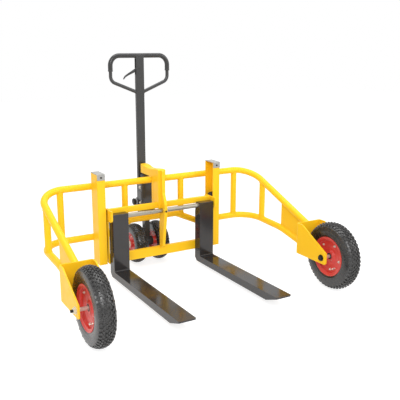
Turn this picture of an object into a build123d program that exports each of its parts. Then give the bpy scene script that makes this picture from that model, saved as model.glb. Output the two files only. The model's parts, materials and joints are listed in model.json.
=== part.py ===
from build123d import *
import math
import os

# All-terrain pallet jack. X runs across, the forks point along -Y, Z is up and the floor is at Z = 0.
# The origin is the middle of the footprint, on the floor. All sizes are in millimetres.

# Wheels
wheelbase = 1002.0
front_track = 1515.0
front_tyre_radius = 203.0
front_tyre_width = 98.0
front_seat_radius = 101.0
front_flange_height = 18.0
steer_tyre_radius = 133.0
steer_tyre_width = 84.0
steer_seat_radius = 60.0
steer_flange_height = 15.0
steer_track = 164.0
flange_width_margin = 6.0
front_tread_width = 82.0
front_shoulder_drop = 15.0
steer_tread_width = 70.0
steer_shoulder_drop = 12.0
front_tread_height = 7.5
front_tread_count = 48
front_tread_turns = (12.0, -8.0, 0.0, 8.0, -12.0)
front_block_length = 13.6
front_block_width = 10.6
front_lug_thickness = 12.4
front_lug_land = 11.6
front_lug_long = 14.0
front_lug_short = 8.0
lug_root_depth = 7.0
lug_stand = 2.0
tread_row_gap = 2.0
tread_taper = 9.0
tread_sink = 1.5
shoulder_ledge = 3.5
shoulder_step = 9.0
tyre_wall = 11.0
tyre_bead_width = 18.0
rim_sheet = 4.0
rim_lip = 3.0
front_disc_recess = 22.0
steer_disc_recess = 14.0
hub_radius = 30.0
hub_half_length = 27.0
bearing_radius = 21.0
bearing_width = 14.0
rim_bolt_count = 5
rim_bolt_turn = 28.0
rim_bolt_inset = 17.0
rim_bolt_radius = 4.0
rim_bolt_head = 6.0
rim_bolt_head_radius = 7.6
steer_hub_radius = 22.0
steer_nut_radius = 17.0

# Front axles and wheel brackets
axle_radius = 8.0
axle_head = 13.0
axle_nut = 16.0
axle_thread_end = 10.0
axle_hex_radius = 16.5
spacer_radius = 10.5
bracket_gap = 168.0
bracket_plate = 8.0
bracket_tyre_gap = 23.0
bracket_below_axle = 36.0
bracket_above_axle = 156.0
bracket_nose = 40.0
bracket_nose_height = 35.0
bracket_top_run = 44.0
bracket_bend_radius = 14.0
bracket_nose_round = 16.0

# Masts and caps
mast_gap = 762.0
mast_width = 50.8
mast_depth = 101.6
mast_wall = 6.35
mast_edge_round = 3.0
mast_bottom = 110.0
mast_top = 677.0
steer_setback = 243.0
cap_plate = 4.0
cap_tab_height = 34.0
cap_tab_thickness = 2.5
cap_bend_radius = 3.2
cap_screw_radius = 5.5
cap_screw_head = 3.0
cap_screw_shank_radius = 3.0

# Pipe rails
rail_radius = 21.1
rail_wall = 3.6
rail_bend_radius = 150.0
rail_mast_gap = 0.05
top_rail_height = 586.0
top_rail_end_drop = 25.0
lower_rail_height = 262.0
lower_rail_arch = 75.0
lower_rail_arch_flat = 330.0
lower_rail_arch_span = 660.0
lower_rail_arch_radius = 90.0
lower_rail_knee = 378.0
lower_rail_knee_drop = 15.0
lower_rail_knee_radius = 500.0
lower_rail_end_rise = 24.0
baluster_radius = 20.0
baluster_wall = 3.2
side_baluster_inset = 132.5
centre_baluster_x = 202.0
bend_baluster_setback = 160.0
web_plate = 6.0
web_length = 267.0

# Fork carriage
carriage_end_gap = 11.0
carriage_plate = 10.0
carriage_plate_bottom = 112.0
carriage_plate_depth = 62.0
bar_thickness = 25.0
bar_edge_round = 2.0
upper_bar_bottom = 420.0
upper_bar_height = 36.0
lower_bar_setback = 19.0
lower_bar_bottom = 101.0
lower_bar_height = 59.0
post_width = 50.8
post_depth = 101.6
post_wall = 6.0
post_round = 5.0
post_rail_gap = 3.4
post_head_height = 60.0
arm_rail_gap = 3.3
arm_height = 47.0
arm_end_height = 57.0
arm_end_reach = 28.0
arm_end_round = 20.0
arm_saddle = 0.55
arm_edge_round = 4.0
fin_thickness = 19.0
fin_upper_depth = 21.5
fin_lug_depth = 53.5
fin_foot_depth = 40.0
fin_foot_rise = 14.0
fin_foot_drop = 8.0
lug_reach = 57.0
lug_height = 71.0
lug_round = 22.0
fork_shaft_radius = 14.0
fork_shaft_drop = 9.0
fork_shaft_front = 20.0
fork_shaft_cover = 4.0
roller_pin_radius = 10.0
roller_width = 30.0
roller_channel_gap = 0.3
upper_roller_drop = 30.0
lower_roller_rise = 88.0

# Forks
fork_width = 102.0
fork_end_gap = 4.0
fork_depth = 64.0
fork_bar_gap = 1.0
fork_bush_wall = 1.45
fork_eye_radius = 29.0
fork_eye_height = 20.0
fork_shoulder_drop = 40.0
fork_blade_length = 832.0
fork_heel_bottom = 24.0
fork_tip_bottom = 30.0
fork_heel_thickness = 42.0
fork_tip_thickness = 46.0
fork_bevel_length = 100.0
fork_nose_thickness = 8.0
fork_heel_cut = 22.0
fork_heel_fillet = 10.0
fork_nose_corner = 7.0
fork_edge_round = 2.5

# Steered pump unit
pump_neck_radius = 30.0
pump_bush_wall = 3.0
sleeve_wall = 13.0
sleeve_below_rail = 32.0
sleeve_height = 45.0
thrust_gap = 0.3
thrust_collar_radius = 38.0
thrust_collar_height = 16.0
column_width = 34.0
column_depth = 46.0
steer_boss_radius = 30.0
steer_axle_radius = 10.0
steer_nut = 9.0
steer_thread_end = 4.0
steer_side_gap = 0.5
pump_width = 96.0
pump_front_depth = 50.0
pump_rear_depth = 38.0
pump_arm_gap = 14.0
pump_round = 10.0
pump_head_radius = 30.0
pump_head_height = 32.0
ram_radius = 17.5
ram_length = 226.0
ram_arm_gap = 0.3
bracket_arm_width = 80.0
bracket_arm_height = 28.0

# Handle and its drive
handle_pump_gap = 1.0
handle_pivot_rise = 54.7
handle_width = 57.0
handle_thickness = 27.0
handle_wall = 3.0
handle_round = 5.0
handle_foot_height = 40.0
handle_eye_radius = 18.0
pivot_pin_radius = 8.0
pivot_lug_radius = 21.0
pivot_lug_thickness = 28.0
pivot_side_gap = 1.0
pivot_pin_end = 6.0
drive_roller_radius = 12.0
drive_roller_back = 25.0
drive_roller_up = 12.0
drive_ear = 10.0
drive_ear_radius = 10.0
drive_pin_radius = 5.0
plunger_radius = 11.0
plunger_top_gap = 0.3
plunger_length = 96.0
barrel_radius = 20.0
barrel_drop = 36.0
barrel_height = 113.0
barrel_floor = 10.0
loop_radius = 11.0
loop_half_width = 201.0
loop_top = 1366.0
loop_knee_drop = 159.0
loop_foot_drop = 235.0
loop_top_bend = 62.0
loop_knee_bend = 45.0
grip_radius = 15.0
grip_drop = 98.0
lever_pin_drop = 84.0
lever_pin_offset = 8.0
lever_pin_radius = 4.0
lever_thickness = 9.0
lever_root = 13.0
lever_tip_x = 116.0
lever_tip_drop = 62.0
lever_elbow_x = 98.0
lever_elbow_drop = 42.0
lever_tip = 5.0
lever_slot_rise = 67.0
lever_slot_drop = 36.0
lever_slot_width = 18.0
rod_radius = 3.0
rod_offset = 10.0
rod_lever_gap = 1.0
rod_guide_height = 8.0

# Fits
running_fit = 0.05
bead_gap = 0.3

# Places worked out from the driving dimensions
length = front_tyre_radius + wheelbase + steer_tyre_radius
front_axle_y = -length / 2 + front_tyre_radius
steer_y = front_axle_y + wheelbase
front_wheel_x = front_track / 2
steer_wheel_x = steer_track / 2
front_flange_radius = front_seat_radius + front_flange_height
steer_flange_radius = steer_seat_radius + steer_flange_height
rim_bolt_circle_radius = front_seat_radius - rim_sheet - rim_bolt_inset
mast_front = steer_y - steer_setback
mast_rear = mast_front + mast_depth
mast_inner = mast_gap / 2
mast_outer = mast_inner + mast_width
mast_middle = mast_inner + mast_width / 2
rail_y = mast_rear + rail_mast_gap + rail_radius
rail_crown = lower_rail_height + lower_rail_arch
side_baluster_x = front_wheel_x - side_baluster_inset
bracket_inner_half = bracket_gap / 2
bracket_outer_half = bracket_inner_half + bracket_plate
bracket_back = front_axle_y + front_tyre_radius + bracket_tyre_gap
bracket_rear = bracket_back + bracket_plate
bracket_bottom = front_tyre_radius - bracket_below_axle
bracket_top = front_tyre_radius + bracket_above_axle
top_rail_end_height = bracket_top - top_rail_end_drop
lower_rail_end_height = bracket_bottom + lower_rail_end_rise
carriage_end = mast_inner - carriage_end_gap
carriage_inner = carriage_end - carriage_plate
shaft_y = mast_front - fork_shaft_front
fork_shaft_height = upper_bar_bottom - fork_shaft_drop
upper_bar_front = shaft_y + fork_eye_radius + fork_bar_gap
lower_bar_front = mast_front + lower_bar_setback
upper_bar_top = upper_bar_bottom + upper_bar_height
lower_bar_top = lower_bar_bottom + lower_bar_height
post_rear = rail_y - rail_radius - post_rail_gap
post_front = post_rear - post_depth
arm_bottom = top_rail_height + rail_radius + arm_rail_gap
arm_top = arm_bottom + arm_height
post_top = arm_bottom + post_head_height
roller_y = mast_front + mast_depth / 2
roller_radius = mast_depth / 2 - mast_wall - roller_channel_gap
upper_roller_height = upper_bar_top - upper_roller_drop
lower_roller_height = carriage_plate_bottom + lower_roller_rise
roller_outer = mast_outer - mast_wall - 2 * roller_channel_gap - mast_edge_round
sleeve_bottom = rail_crown - sleeve_below_rail
sleeve_top = sleeve_bottom + sleeve_height
sleeve_bore = pump_neck_radius + pump_bush_wall
sleeve_radius = sleeve_bore + sleeve_wall
pump_bottom = sleeve_top + thrust_gap
pump_top = arm_bottom - pump_arm_gap - pump_head_height
handle_y = steer_y + pump_rear_depth + handle_pump_gap + handle_eye_radius
handle_pivot_height = pump_bottom + handle_pivot_rise
barrel_top = handle_pivot_height - barrel_drop
barrel_bottom = barrel_top - barrel_height
loop_knee_height = loop_top - loop_knee_drop
loop_foot_height = loop_top - loop_foot_drop
grip_end_height = loop_top - grip_drop
lever_pin_height = loop_top - lever_pin_drop
lever_tip_height = lever_pin_height - lever_tip_drop
lever_elbow_height = lever_pin_height - lever_elbow_drop
drive_y = handle_y + drive_roller_back
drive_z = handle_pivot_height + drive_roller_up
plunger_top = drive_z - drive_roller_radius - plunger_top_gap


def block(x0, x1, y0, y1, z0, z1):
    """A box between two corners."""
    size = (abs(x1 - x0), abs(y1 - y0), abs(z1 - z0))
    return Pos((x0 + x1) / 2, (y0 + y1) / 2, (z0 + z1) / 2) * Box(*size)


def rod_x(radius, x0, x1, y, z):
    """A cylinder along X."""
    return Pos((x0 + x1) / 2, y, z) * Rot(0, 90, 0) * Cylinder(radius, abs(x1 - x0))


def rod_y(radius, x, y0, y1, z):
    """A cylinder along Y."""
    return Pos(x, (y0 + y1) / 2, z) * Rot(90, 0, 0) * Cylinder(radius, abs(y1 - y0))


def rod_z(radius, x, y, z0, z1):
    """A cylinder along Z."""
    return Pos(x, y, (z0 + z1) / 2) * Cylinder(radius, abs(z1 - z0))


def hex_x(radius, x0, x1, y, z):
    """A hexagonal bar along X."""
    start = min(x0, x1)
    face = Plane((start, y, z), x_dir=(0, 1, 0), z_dir=(1, 0, 0)) * RegularPolygon(radius, 6)
    return extrude(face, abs(x1 - x0))


def plate_yz(outline, x0, x1):
    """A flat plate across X, cut to a YZ outline."""
    face = Plane.YZ.offset(min(x0, x1)) * make_face(outline)
    return extrude(face, abs(x1 - x0))


def plate_xz(outline, y0, y1):
    """A flat plate across Y, cut to an XZ outline."""
    face = Plane.XZ.offset(-max(y0, y1)) * make_face(outline)
    return extrude(face, abs(y1 - y0))


def pipe(path, radius, wall=0.0):
    """A round tube swept along a path; with no wall it is solid."""
    section = Circle(radius)
    if wall:
        section = section - Circle(radius - wall)
    return sweep(Plane(origin=path @ 0, z_dir=path % 0) * section, path)


def group(solids):
    """Several separate solids of one node."""
    return Compound(children=list(solids))


def both_sides(solid):
    """A solid and its mirror image across the middle."""
    return group([mirror(solid, about=Plane.YZ), solid])


def spin_x(face, x, y, z):
    """A face drawn as (X, radius), turned about an X axis through a point."""
    return Pos(x, y, z) * revolve(Plane.XZ * face, Axis.X)


nodes = {}


def make_masts():
    """Channel masts, open inward, with bent caps and cap screws."""
    shell = block(mast_inner, mast_outer, mast_front, mast_rear, mast_bottom, mast_top)
    outer_edges = shell.edges().filter_by(Axis.Z).group_by(Axis.X)[-1]
    shell = fillet(outer_edges, mast_edge_round)
    hollow = block(mast_inner, mast_outer - mast_wall, mast_front + mast_wall, mast_rear - mast_wall,
                   mast_bottom, mast_top)
    screw_z = mast_top - cap_tab_height / 2
    screw_hole = rod_y(cap_screw_shank_radius, mast_middle, mast_front - cap_tab_thickness,
                       mast_front + mast_wall, screw_z)
    mast = shell - hollow - screw_hole
    nodes["right_mast"] = mast
    nodes["left_mast"] = mirror(mast, about=Plane.YZ)
    tab_front = mast_front - cap_tab_thickness
    cap = block(mast_inner, mast_outer, tab_front, mast_rear, mast_top, mast_top + cap_plate)
    cap += block(mast_inner, mast_outer, tab_front, mast_front, mast_top - cap_tab_height, mast_top)
    bend = cap.edges().filter_by(Axis.X).sort_by(Axis.Y).group_by(Axis.Y)[0].sort_by(Axis.Z)[-1]
    cap = fillet(bend, cap_bend_radius) - screw_hole
    nodes["mast_caps"] = both_sides(cap)
    screw = rod_y(cap_screw_radius, mast_middle, tab_front - cap_screw_head, tab_front, screw_z)
    screw += rod_y(cap_screw_shank_radius, mast_middle, tab_front, mast_front + mast_wall, screw_z)
    nodes["cap_screws"] = both_sides(screw)


def top_side_path(end_y):
    """Centre line of the right top rail, from behind the mast to a place along Y."""
    slope = (top_rail_height - top_rail_end_height) / (rail_y - bracket_rear)
    end_z = top_rail_height - slope * (rail_y - end_y)
    points = [(mast_middle, rail_y, top_rail_height), (front_wheel_x, rail_y, top_rail_height),
              (front_wheel_x, end_y, end_z)]
    return FilletPolyline(*points, radius=rail_bend_radius)


def lower_side_path(end_y):
    """Centre line of the right lower rail, from behind the mast to a place along Y."""
    knee_y = rail_y - lower_rail_knee
    knee_z = lower_rail_height - lower_rail_knee_drop
    slope = (knee_z - lower_rail_end_height) / (knee_y - bracket_rear)
    points = [(mast_middle, rail_y, lower_rail_height), (front_wheel_x, rail_y, lower_rail_height),
              (front_wheel_x, knee_y, knee_z), (front_wheel_x, end_y, knee_z - slope * (knee_y - end_y))]
    return FilletPolyline(*points, radius=[rail_bend_radius, lower_rail_knee_radius])


def arch_path():
    """Centre line of the lower rail between the masts, arched over the steer wheels."""
    half_flat = lower_rail_arch_flat / 2
    half_span = lower_rail_arch_span / 2
    points = [(-mast_middle, rail_y, lower_rail_height), (-half_span, rail_y, lower_rail_height),
              (-half_flat, rail_y, rail_crown), (half_flat, rail_y, rail_crown),
              (half_span, rail_y, lower_rail_height), (mast_middle, rail_y, lower_rail_height)]
    return FilletPolyline(*points, radius=lower_rail_arch_radius)


def make_rails():
    """Top and lower rails, the balusters between them and the web plates."""
    run_out = bracket_rear - 2 * rail_radius
    ahead = block(0, 2 * front_wheel_x, run_out - 4 * rail_radius, bracket_rear, 0, mast_top)
    top_side = top_side_path(run_out)
    lower_side = lower_side_path(run_out)
    top_tube = pipe(top_side, rail_radius, rail_wall) - ahead
    lower_tube = pipe(lower_side, rail_radius, rail_wall) - ahead
    nodes["right_top_rail"] = top_tube
    nodes["left_top_rail"] = mirror(top_tube, about=Plane.YZ)
    nodes["right_lower_rail"] = lower_tube
    nodes["left_lower_rail"] = mirror(lower_tube, about=Plane.YZ)
    middle = Line((-mast_middle, rail_y, top_rail_height), (mast_middle, rail_y, top_rail_height))
    nodes["centre_top_rail"] = pipe(middle, rail_radius, rail_wall)
    nodes["centre_lower_rail"] = pipe(arch_path(), rail_radius, rail_wall)

    solid_top = pipe(top_side, rail_radius)
    solid_lower = pipe(lower_side, rail_radius)
    solid_middle = pipe(middle, rail_radius)
    solid_arch = pipe(arch_path(), rail_radius)

    def baluster(x, y, z0, z1, rails):
        tube = rod_z(baluster_radius, x, y, z0, z1) - rod_z(baluster_radius - baluster_wall, x, y, z0, z1)
        for rail in rails:
            tube = tube - rail
        return max(tube.solids(), key=lambda s: s.volume)

    inner = baluster(centre_baluster_x, rail_y, lower_rail_height, top_rail_height,
                     [solid_arch, solid_middle])
    outer = baluster(side_baluster_x, rail_y, lower_rail_height, top_rail_height, [solid_lower, solid_top])
    bend_y = rail_y - bend_baluster_setback
    top_slope = (top_rail_height - top_rail_end_height) / (rail_y - bracket_rear)
    bend_top = top_rail_height - top_slope * bend_baluster_setback
    bend_bottom = lower_rail_height - lower_rail_knee_drop * bend_baluster_setback / lower_rail_knee
    bent = baluster(front_wheel_x, bend_y, bend_bottom, bend_top, [solid_lower, solid_top])
    upright = [inner, outer, bent]
    nodes["rail_balusters"] = group(upright + [mirror(tube, about=Plane.YZ) for tube in upright])

    web = block(front_wheel_x - web_plate / 2, front_wheel_x + web_plate / 2, bracket_rear,
                bracket_rear + web_length, lower_rail_end_height, top_rail_height)
    web = web - solid_top - solid_lower
    web = min(web.solids(), key=lambda s: abs(s.center().Z - (top_rail_end_height + lower_rail_height) / 2))
    nodes["web_plates"] = both_sides(web)


def make_wheel_brackets():
    """Bent plate brackets round the front wheels, with axle bolts, nuts and spacers."""
    nose_front = front_axle_y - bracket_nose
    top_front = bracket_rear - bracket_top_run - bracket_plate
    outline = Polyline((bracket_rear, bracket_bottom), (nose_front, bracket_bottom),
                       (nose_front, front_tyre_radius + bracket_nose_height),
                       (top_front, bracket_top), (bracket_rear, bracket_top), close=True)
    x_in = front_wheel_x - bracket_outer_half
    x_out = front_wheel_x + bracket_outer_half
    body = plate_yz(outline, x_in, x_out)
    nose_edges = body.edges().filter_by(Axis.X).sort_by(Axis.Y)[0:2]
    body = fillet(nose_edges, bracket_nose_round)
    bends = body.edges().filter_by(Axis.Z).group_by(Axis.Y)[-1]
    body = fillet(bends, bracket_bend_radius)
    pocket = block(front_wheel_x - bracket_inner_half, front_wheel_x + bracket_inner_half,
                   nose_front - bracket_plate, bracket_back, 0, mast_top)
    inside_round = max(bracket_bend_radius - bracket_plate, bracket_plate / 4)
    pocket = fillet(pocket.edges().filter_by(Axis.Z).group_by(Axis.Y)[-1], inside_round)
    hole = rod_x(axle_radius + running_fit, x_in, x_out, front_axle_y, front_tyre_radius)
    bracket = body - pocket - hole
    nodes["right_wheel_bracket"] = bracket
    nodes["left_wheel_bracket"] = mirror(bracket, about=Plane.YZ)

    nut_end = x_out + axle_nut
    thread_end = nut_end + axle_thread_end
    axle = rod_x(axle_radius, x_in, thread_end, front_axle_y, front_tyre_radius)
    axle += hex_x(axle_hex_radius, x_in - axle_head, x_in, front_axle_y, front_tyre_radius)
    nut = hex_x(axle_hex_radius, x_out, nut_end, front_axle_y, front_tyre_radius)
    nut -= rod_x(axle_radius + running_fit, x_out, nut_end, front_axle_y, front_tyre_radius)
    bolt_set = [axle, nut]
    nodes["front_axles"] = group(bolt_set + [mirror(solid, about=Plane.YZ) for solid in bolt_set])

    def spacer(x0, x1):
        outer = rod_x(spacer_radius, x0, x1, front_axle_y, front_tyre_radius)
        return outer - rod_x(axle_radius + running_fit, x0, x1, front_axle_y, front_tyre_radius)

    hub_end = hub_half_length + thrust_gap
    inner = spacer(front_wheel_x - bracket_inner_half, front_wheel_x - hub_end)
    outer = spacer(front_wheel_x + hub_end, front_wheel_x + bracket_inner_half)
    spacers = [inner, outer]
    nodes["axle_spacers"] = group(spacers + [mirror(tube, about=Plane.YZ) for tube in spacers])


def rim_outline(seat, flange, half_width, disc_recess, bore):
    """Section of a steel rim: two flanges, a barrel and two discs down to the hub."""
    disc_out = half_width - disc_recess
    disc_in = disc_out - rim_sheet
    seat_end = half_width - 3 * rim_lip
    inside = seat - rim_sheet
    half = [(half_width, flange), (half_width - rim_lip, flange), (seat_end + rim_lip, seat + rim_lip),
            (seat_end, seat)]
    back = [(disc_in, inside), (disc_in, bore), (disc_out, bore), (disc_out, inside),
            (seat_end + rim_lip, inside), (half_width, flange - rim_lip)]
    right_to_left = half + [(-x, r) for x, r in reversed(half)]
    left_to_right = [(-x, r) for x, r in reversed(back)] + back
    return make_face(Polyline(*right_to_left, *left_to_right, close=True))


def crown_arc(radius, tread_width, shoulder_drop):
    """Radius of a tread's crown across the tyre, and its half angle out to the shoulder."""
    crown = ((tread_width / 2) ** 2 + shoulder_drop ** 2) / (2 * shoulder_drop)
    return crown, math.asin(tread_width / 2 / crown)


def on_crown(radius, crown, angle, depth):
    """Point (x, radius) at an angle across the crown and a depth under it."""
    reach = crown - depth
    return reach * math.sin(angle), radius - crown + reach * math.cos(angle)


def tyre_outline(radius, width, tread_width, shoulder_drop, seat, flange, rim_half, tread_height=0.0):
    """Section of a tyre that sits on such a rim, hollow inside and open at the beads, without its tread."""
    half = width / 2
    seat_end = rim_half - 3 * rim_lip - bead_gap
    side_r = (seat + radius - tread_height) / 2
    crown, spread = crown_arc(radius, tread_width, shoulder_drop)
    shoulder = on_crown(radius, crown, spread, tread_height)
    side_end = shoulder
    if tread_height:
        side_end = (tread_width / 2 + shoulder_ledge, radius - shoulder_drop - shoulder_step)
    bead = (seat_end, seat + bead_gap)
    toe = (seat_end + rim_lip - bead_gap, seat + rim_lip + 2 * bead_gap)
    over = (rim_half - rim_lip - bead_gap, flange + 2 * bead_gap)
    rise = (rim_half - rim_lip / 2, flange + 2 * rim_lip)
    right = [Line(bead, toe), Line(toe, over), Line(over, rise),
             ThreePointArc(rise, (half, side_r), side_end)]
    if tread_height:
        right.append(Line(side_end, shoulder))
    top = ThreePointArc(shoulder, (0, radius - tread_height), (-shoulder[0], shoulder[1]))
    left = [mirror(edge, about=Plane.YZ) for edge in right]
    base = Line((-bead[0], bead[1]), bead)
    section = make_face(right + [top] + left + [base])
    cavity_half = half - tyre_wall
    cavity_r = side_r - seat - tyre_wall
    section -= Pos(0, side_r) * Ellipse(cavity_half, cavity_r)
    mouth_half = seat_end - tyre_bead_width
    section -= Pos(0, (seat + side_r) / 2) * Rectangle(2 * mouth_half, side_r - seat + 4 * bead_gap)
    return section


def front_tread():
    """Tread of a front tyre: staggered rows of blocks over the crown, long and short lugs on the shoulders."""
    crown, spread = crown_arc(front_tyre_radius, front_tread_width, front_shoulder_drop)
    pitch = 360 / front_tread_count
    last = (len(front_tread_turns) - 1) / 2
    lug_angle = spread - front_lug_land / crown
    row_angle = (lug_angle - (tread_row_gap + front_block_width / 2) / crown) / last
    pieces = []
    for row, turn in enumerate(front_tread_turns):
        tilt = (row - last) * row_angle
        x, r = on_crown(front_tyre_radius, crown, tilt, front_tread_height + tread_sink)
        seat = Plane((x, 0, r), x_dir=(0, 1, 0), z_dir=(math.sin(tilt), 0, math.cos(tilt)))
        outline = seat * Rot(0, 0, turn) * Rectangle(front_block_length, front_block_width)
        block = extrude(outline, front_tread_height + tread_sink, taper=tread_taper)
        start = pitch / 2 if row % 2 else 0
        pieces += [block.rotate(Axis.X, start + pitch * index) for index in range(front_tread_count)]

    def lug(reach):
        foot_r = front_tyre_radius - front_shoulder_drop - reach
        foot_x = front_tread_width / 2 + shoulder_ledge + lug_stand
        outline = Polyline(on_crown(front_tyre_radius, crown, lug_angle, 0),
                           on_crown(front_tyre_radius, crown, spread, 0), (foot_x, foot_r),
                           (foot_x - lug_root_depth, foot_r),
                           on_crown(front_tyre_radius, crown, lug_angle, front_tread_height + tread_sink),
                           close=True)
        return extrude(Plane.XZ * make_face(outline), front_lug_thickness / 2, both=True)

    reaches = (front_lug_short, front_lug_long)
    for index in range(front_tread_count):
        piece = lug(reaches[index % 2]).rotate(Axis.X, pitch * (index + 0.5))
        pieces += [piece, mirror(piece, about=Plane.YZ)]
    return pieces


def make_front_wheels():
    """Big front wheels: tyre, bolted rim, hub and bearings."""
    rim_half = front_tyre_width / 2 - flange_width_margin / 2
    disc_out = rim_half - front_disc_recess
    rim_face = rim_outline(front_seat_radius, front_flange_radius, rim_half, front_disc_recess, hub_radius)
    rim = spin_x(rim_face, 0, 0, 0)
    tyre = spin_x(tyre_outline(front_tyre_radius, front_tyre_width, front_tread_width, front_shoulder_drop,
                               front_seat_radius, front_flange_radius, rim_half, front_tread_height), 0, 0, 0)
    tyre = tyre.fuse(*front_tread())
    bolts = []
    for index in range(rim_bolt_count):
        angle = math.radians(90 + rim_bolt_turn + 360 * index / rim_bolt_count)
        y = rim_bolt_circle_radius * math.cos(angle)
        z = rim_bolt_circle_radius * math.sin(angle)
        rim -= rod_x(rim_bolt_radius + running_fit, -rim_half, rim_half, y, z)
        bolt = rod_x(rim_bolt_radius, -disc_out, disc_out, y, z)
        bolt += hex_x(rim_bolt_head_radius, disc_out, disc_out + rim_bolt_head, y, z)
        bolt += hex_x(rim_bolt_head_radius, -disc_out - rim_bolt_head, -disc_out, y, z)
        bolts.append(bolt)
    hub = rod_x(hub_radius, -hub_half_length, hub_half_length, 0, 0)
    hub -= rod_x(bearing_radius, -hub_half_length, hub_half_length, 0, 0)
    bearings = []
    for side in (-1, 1):
        x0 = side * hub_half_length
        x1 = side * (hub_half_length - bearing_width)
        ring = rod_x(bearing_radius, x0, x1, 0, 0) - rod_x(axle_radius + running_fit, x0, x1, 0, 0)
        bearings.append(ring)
    for name, side in (("left", -1), ("right", 1)):
        place = Pos(side * front_wheel_x, front_axle_y, front_tyre_radius)
        nodes[name + "_front_tyre"] = place * tyre
        nodes[name + "_front_rim"] = place * rim
        nodes[name + "_front_hub"] = group([place * solid for solid in [hub] + bearings])
        nodes[name + "_rim_bolts"] = group([place * bolt for bolt in bolts])


def make_carriage():
    """Bars, side plates, fin, post and lift arm that carry the fork shaft."""
    shaft_half = carriage_end - fork_shaft_cover
    shaft_hole = rod_x(fork_shaft_radius + running_fit, -shaft_half, shaft_half, shaft_y, fork_shaft_height)
    lug_front = mast_front - lug_reach
    lug_bottom = upper_bar_top - lug_height
    plate_rear = upper_bar_front + carriage_plate_depth
    outline = Polyline((lug_front, upper_bar_top), (lug_front, lug_bottom), (upper_bar_front, lug_bottom),
                       (upper_bar_front, carriage_plate_bottom), (plate_rear, carriage_plate_bottom),
                       (plate_rear, upper_bar_top), close=True)
    plate = plate_yz(outline, carriage_inner, carriage_end)
    nose = plate.edges().filter_by(Axis.X).group_by(Axis.Y)[0].sort_by(Axis.Z)
    plate = fillet(nose[0], lug_round)
    plate -= shaft_hole
    pins = []
    for height in (lower_roller_height, upper_roller_height):
        plate -= rod_x(roller_pin_radius + running_fit, carriage_inner, carriage_end, roller_y, height)
        pins.append(rod_x(roller_pin_radius, carriage_inner, roller_outer, roller_y, height))
    nodes["carriage_side_plates"] = both_sides(plate)
    nodes["roller_pins"] = group(pins + [mirror(pin, about=Plane.YZ) for pin in pins])
    nodes["fork_shaft"] = rod_x(fork_shaft_radius, -shaft_half, shaft_half, shaft_y, fork_shaft_height)

    upper = block(post_width / 2, carriage_inner, upper_bar_front, upper_bar_front + bar_thickness,
                  upper_bar_bottom, upper_bar_top)
    nodes["upper_bars"] = both_sides(fillet(upper.edges().filter_by(Axis.X), bar_edge_round))
    lower = block(-carriage_inner, carriage_inner, lower_bar_front, lower_bar_front + bar_thickness,
                  lower_bar_bottom, lower_bar_top)
    nodes["lower_bar"] = fillet(lower.edges().filter_by(Axis.X), bar_edge_round)

    half = post_width / 2
    post = block(-half, half, post_front, post_rear, upper_bar_bottom, arm_bottom)
    post = fillet(post.edges().filter_by(Axis.Z), post_round)
    hollow = block(-half + post_wall, half - post_wall, post_front + post_wall, post_rear - post_wall,
                   upper_bar_bottom + post_wall, arm_bottom)
    nodes["centre_post"] = post - hollow

    arm_rear = steer_y + arm_end_reach
    arm_end_top = arm_bottom + arm_end_height
    saddle_y = post_rear + arm_saddle * (steer_y - post_rear)
    hook = rail_radius + arm_rail_gap
    hook_turn = hook * (1 - math.sqrt(0.5))
    crown = Spline((post_front + post_round, post_top), (saddle_y, arm_top), (steer_y, arm_end_top),
                   tangents=[(1, 0), (1, 0)])
    wrap = ThreePointArc((post_rear + hook, arm_bottom), (post_rear + hook_turn, arm_bottom - hook_turn),
                         (post_rear, arm_bottom - hook))
    head_profile = [
        crown,
        Polyline((steer_y, arm_end_top), (arm_rear, arm_end_top), (arm_rear, arm_bottom),
                 (post_rear + hook, arm_bottom)),
        wrap,
        Polyline((post_rear, arm_bottom - hook), (post_rear, arm_bottom), (post_front, arm_bottom),
                 (post_front, post_top - post_round), (post_front + post_round, post_top)),
    ]
    arm = plate_yz(head_profile, -half, half)
    arm = fillet(arm.edges().filter_by(Axis.Z).group_by(Axis.Y)[-1], arm_end_round)
    arm = fillet(arm.edges().filter_by(GeomType.BSPLINE), arm_edge_round)
    nodes["lift_arm"] = arm

    fin_half = fin_thickness / 2
    lug_low = lug_bottom + lug_round / 2
    fin_front = post_front - fin_upper_depth
    fin_lug_front = post_front - fin_lug_depth
    fin_top = post_top - post_round
    fin_profile = Polyline((post_front, fin_top), (fin_front, fin_top),
                           (fin_front, upper_bar_top + lug_height), (fin_lug_front, upper_bar_top),
                           (fin_lug_front, lug_low),
                           (lower_bar_front - fin_foot_depth, lower_bar_top + fin_foot_rise),
                           (lower_bar_front, lower_bar_top - fin_foot_drop),
                           (lower_bar_front, upper_bar_bottom), (post_front, upper_bar_bottom), close=True)
    nodes["centre_fin"] = plate_yz(fin_profile, -fin_half, fin_half) - shaft_hole

    roller_inner = roller_outer - roller_width
    wheel = rod_x(roller_radius, roller_inner, roller_outer, 0, 0)
    wheel = fillet(wheel.edges(), mast_edge_round)
    wheel -= rod_x(roller_pin_radius + running_fit, roller_inner, roller_outer, 0, 0)
    for level, height in (("lower", lower_roller_height), ("upper", upper_roller_height)):
        roller = Pos(0, roller_y, height) * wheel
        nodes["right_" + level + "_roller"] = roller
        nodes["left_" + level + "_roller"] = mirror(roller, about=Plane.YZ)


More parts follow.
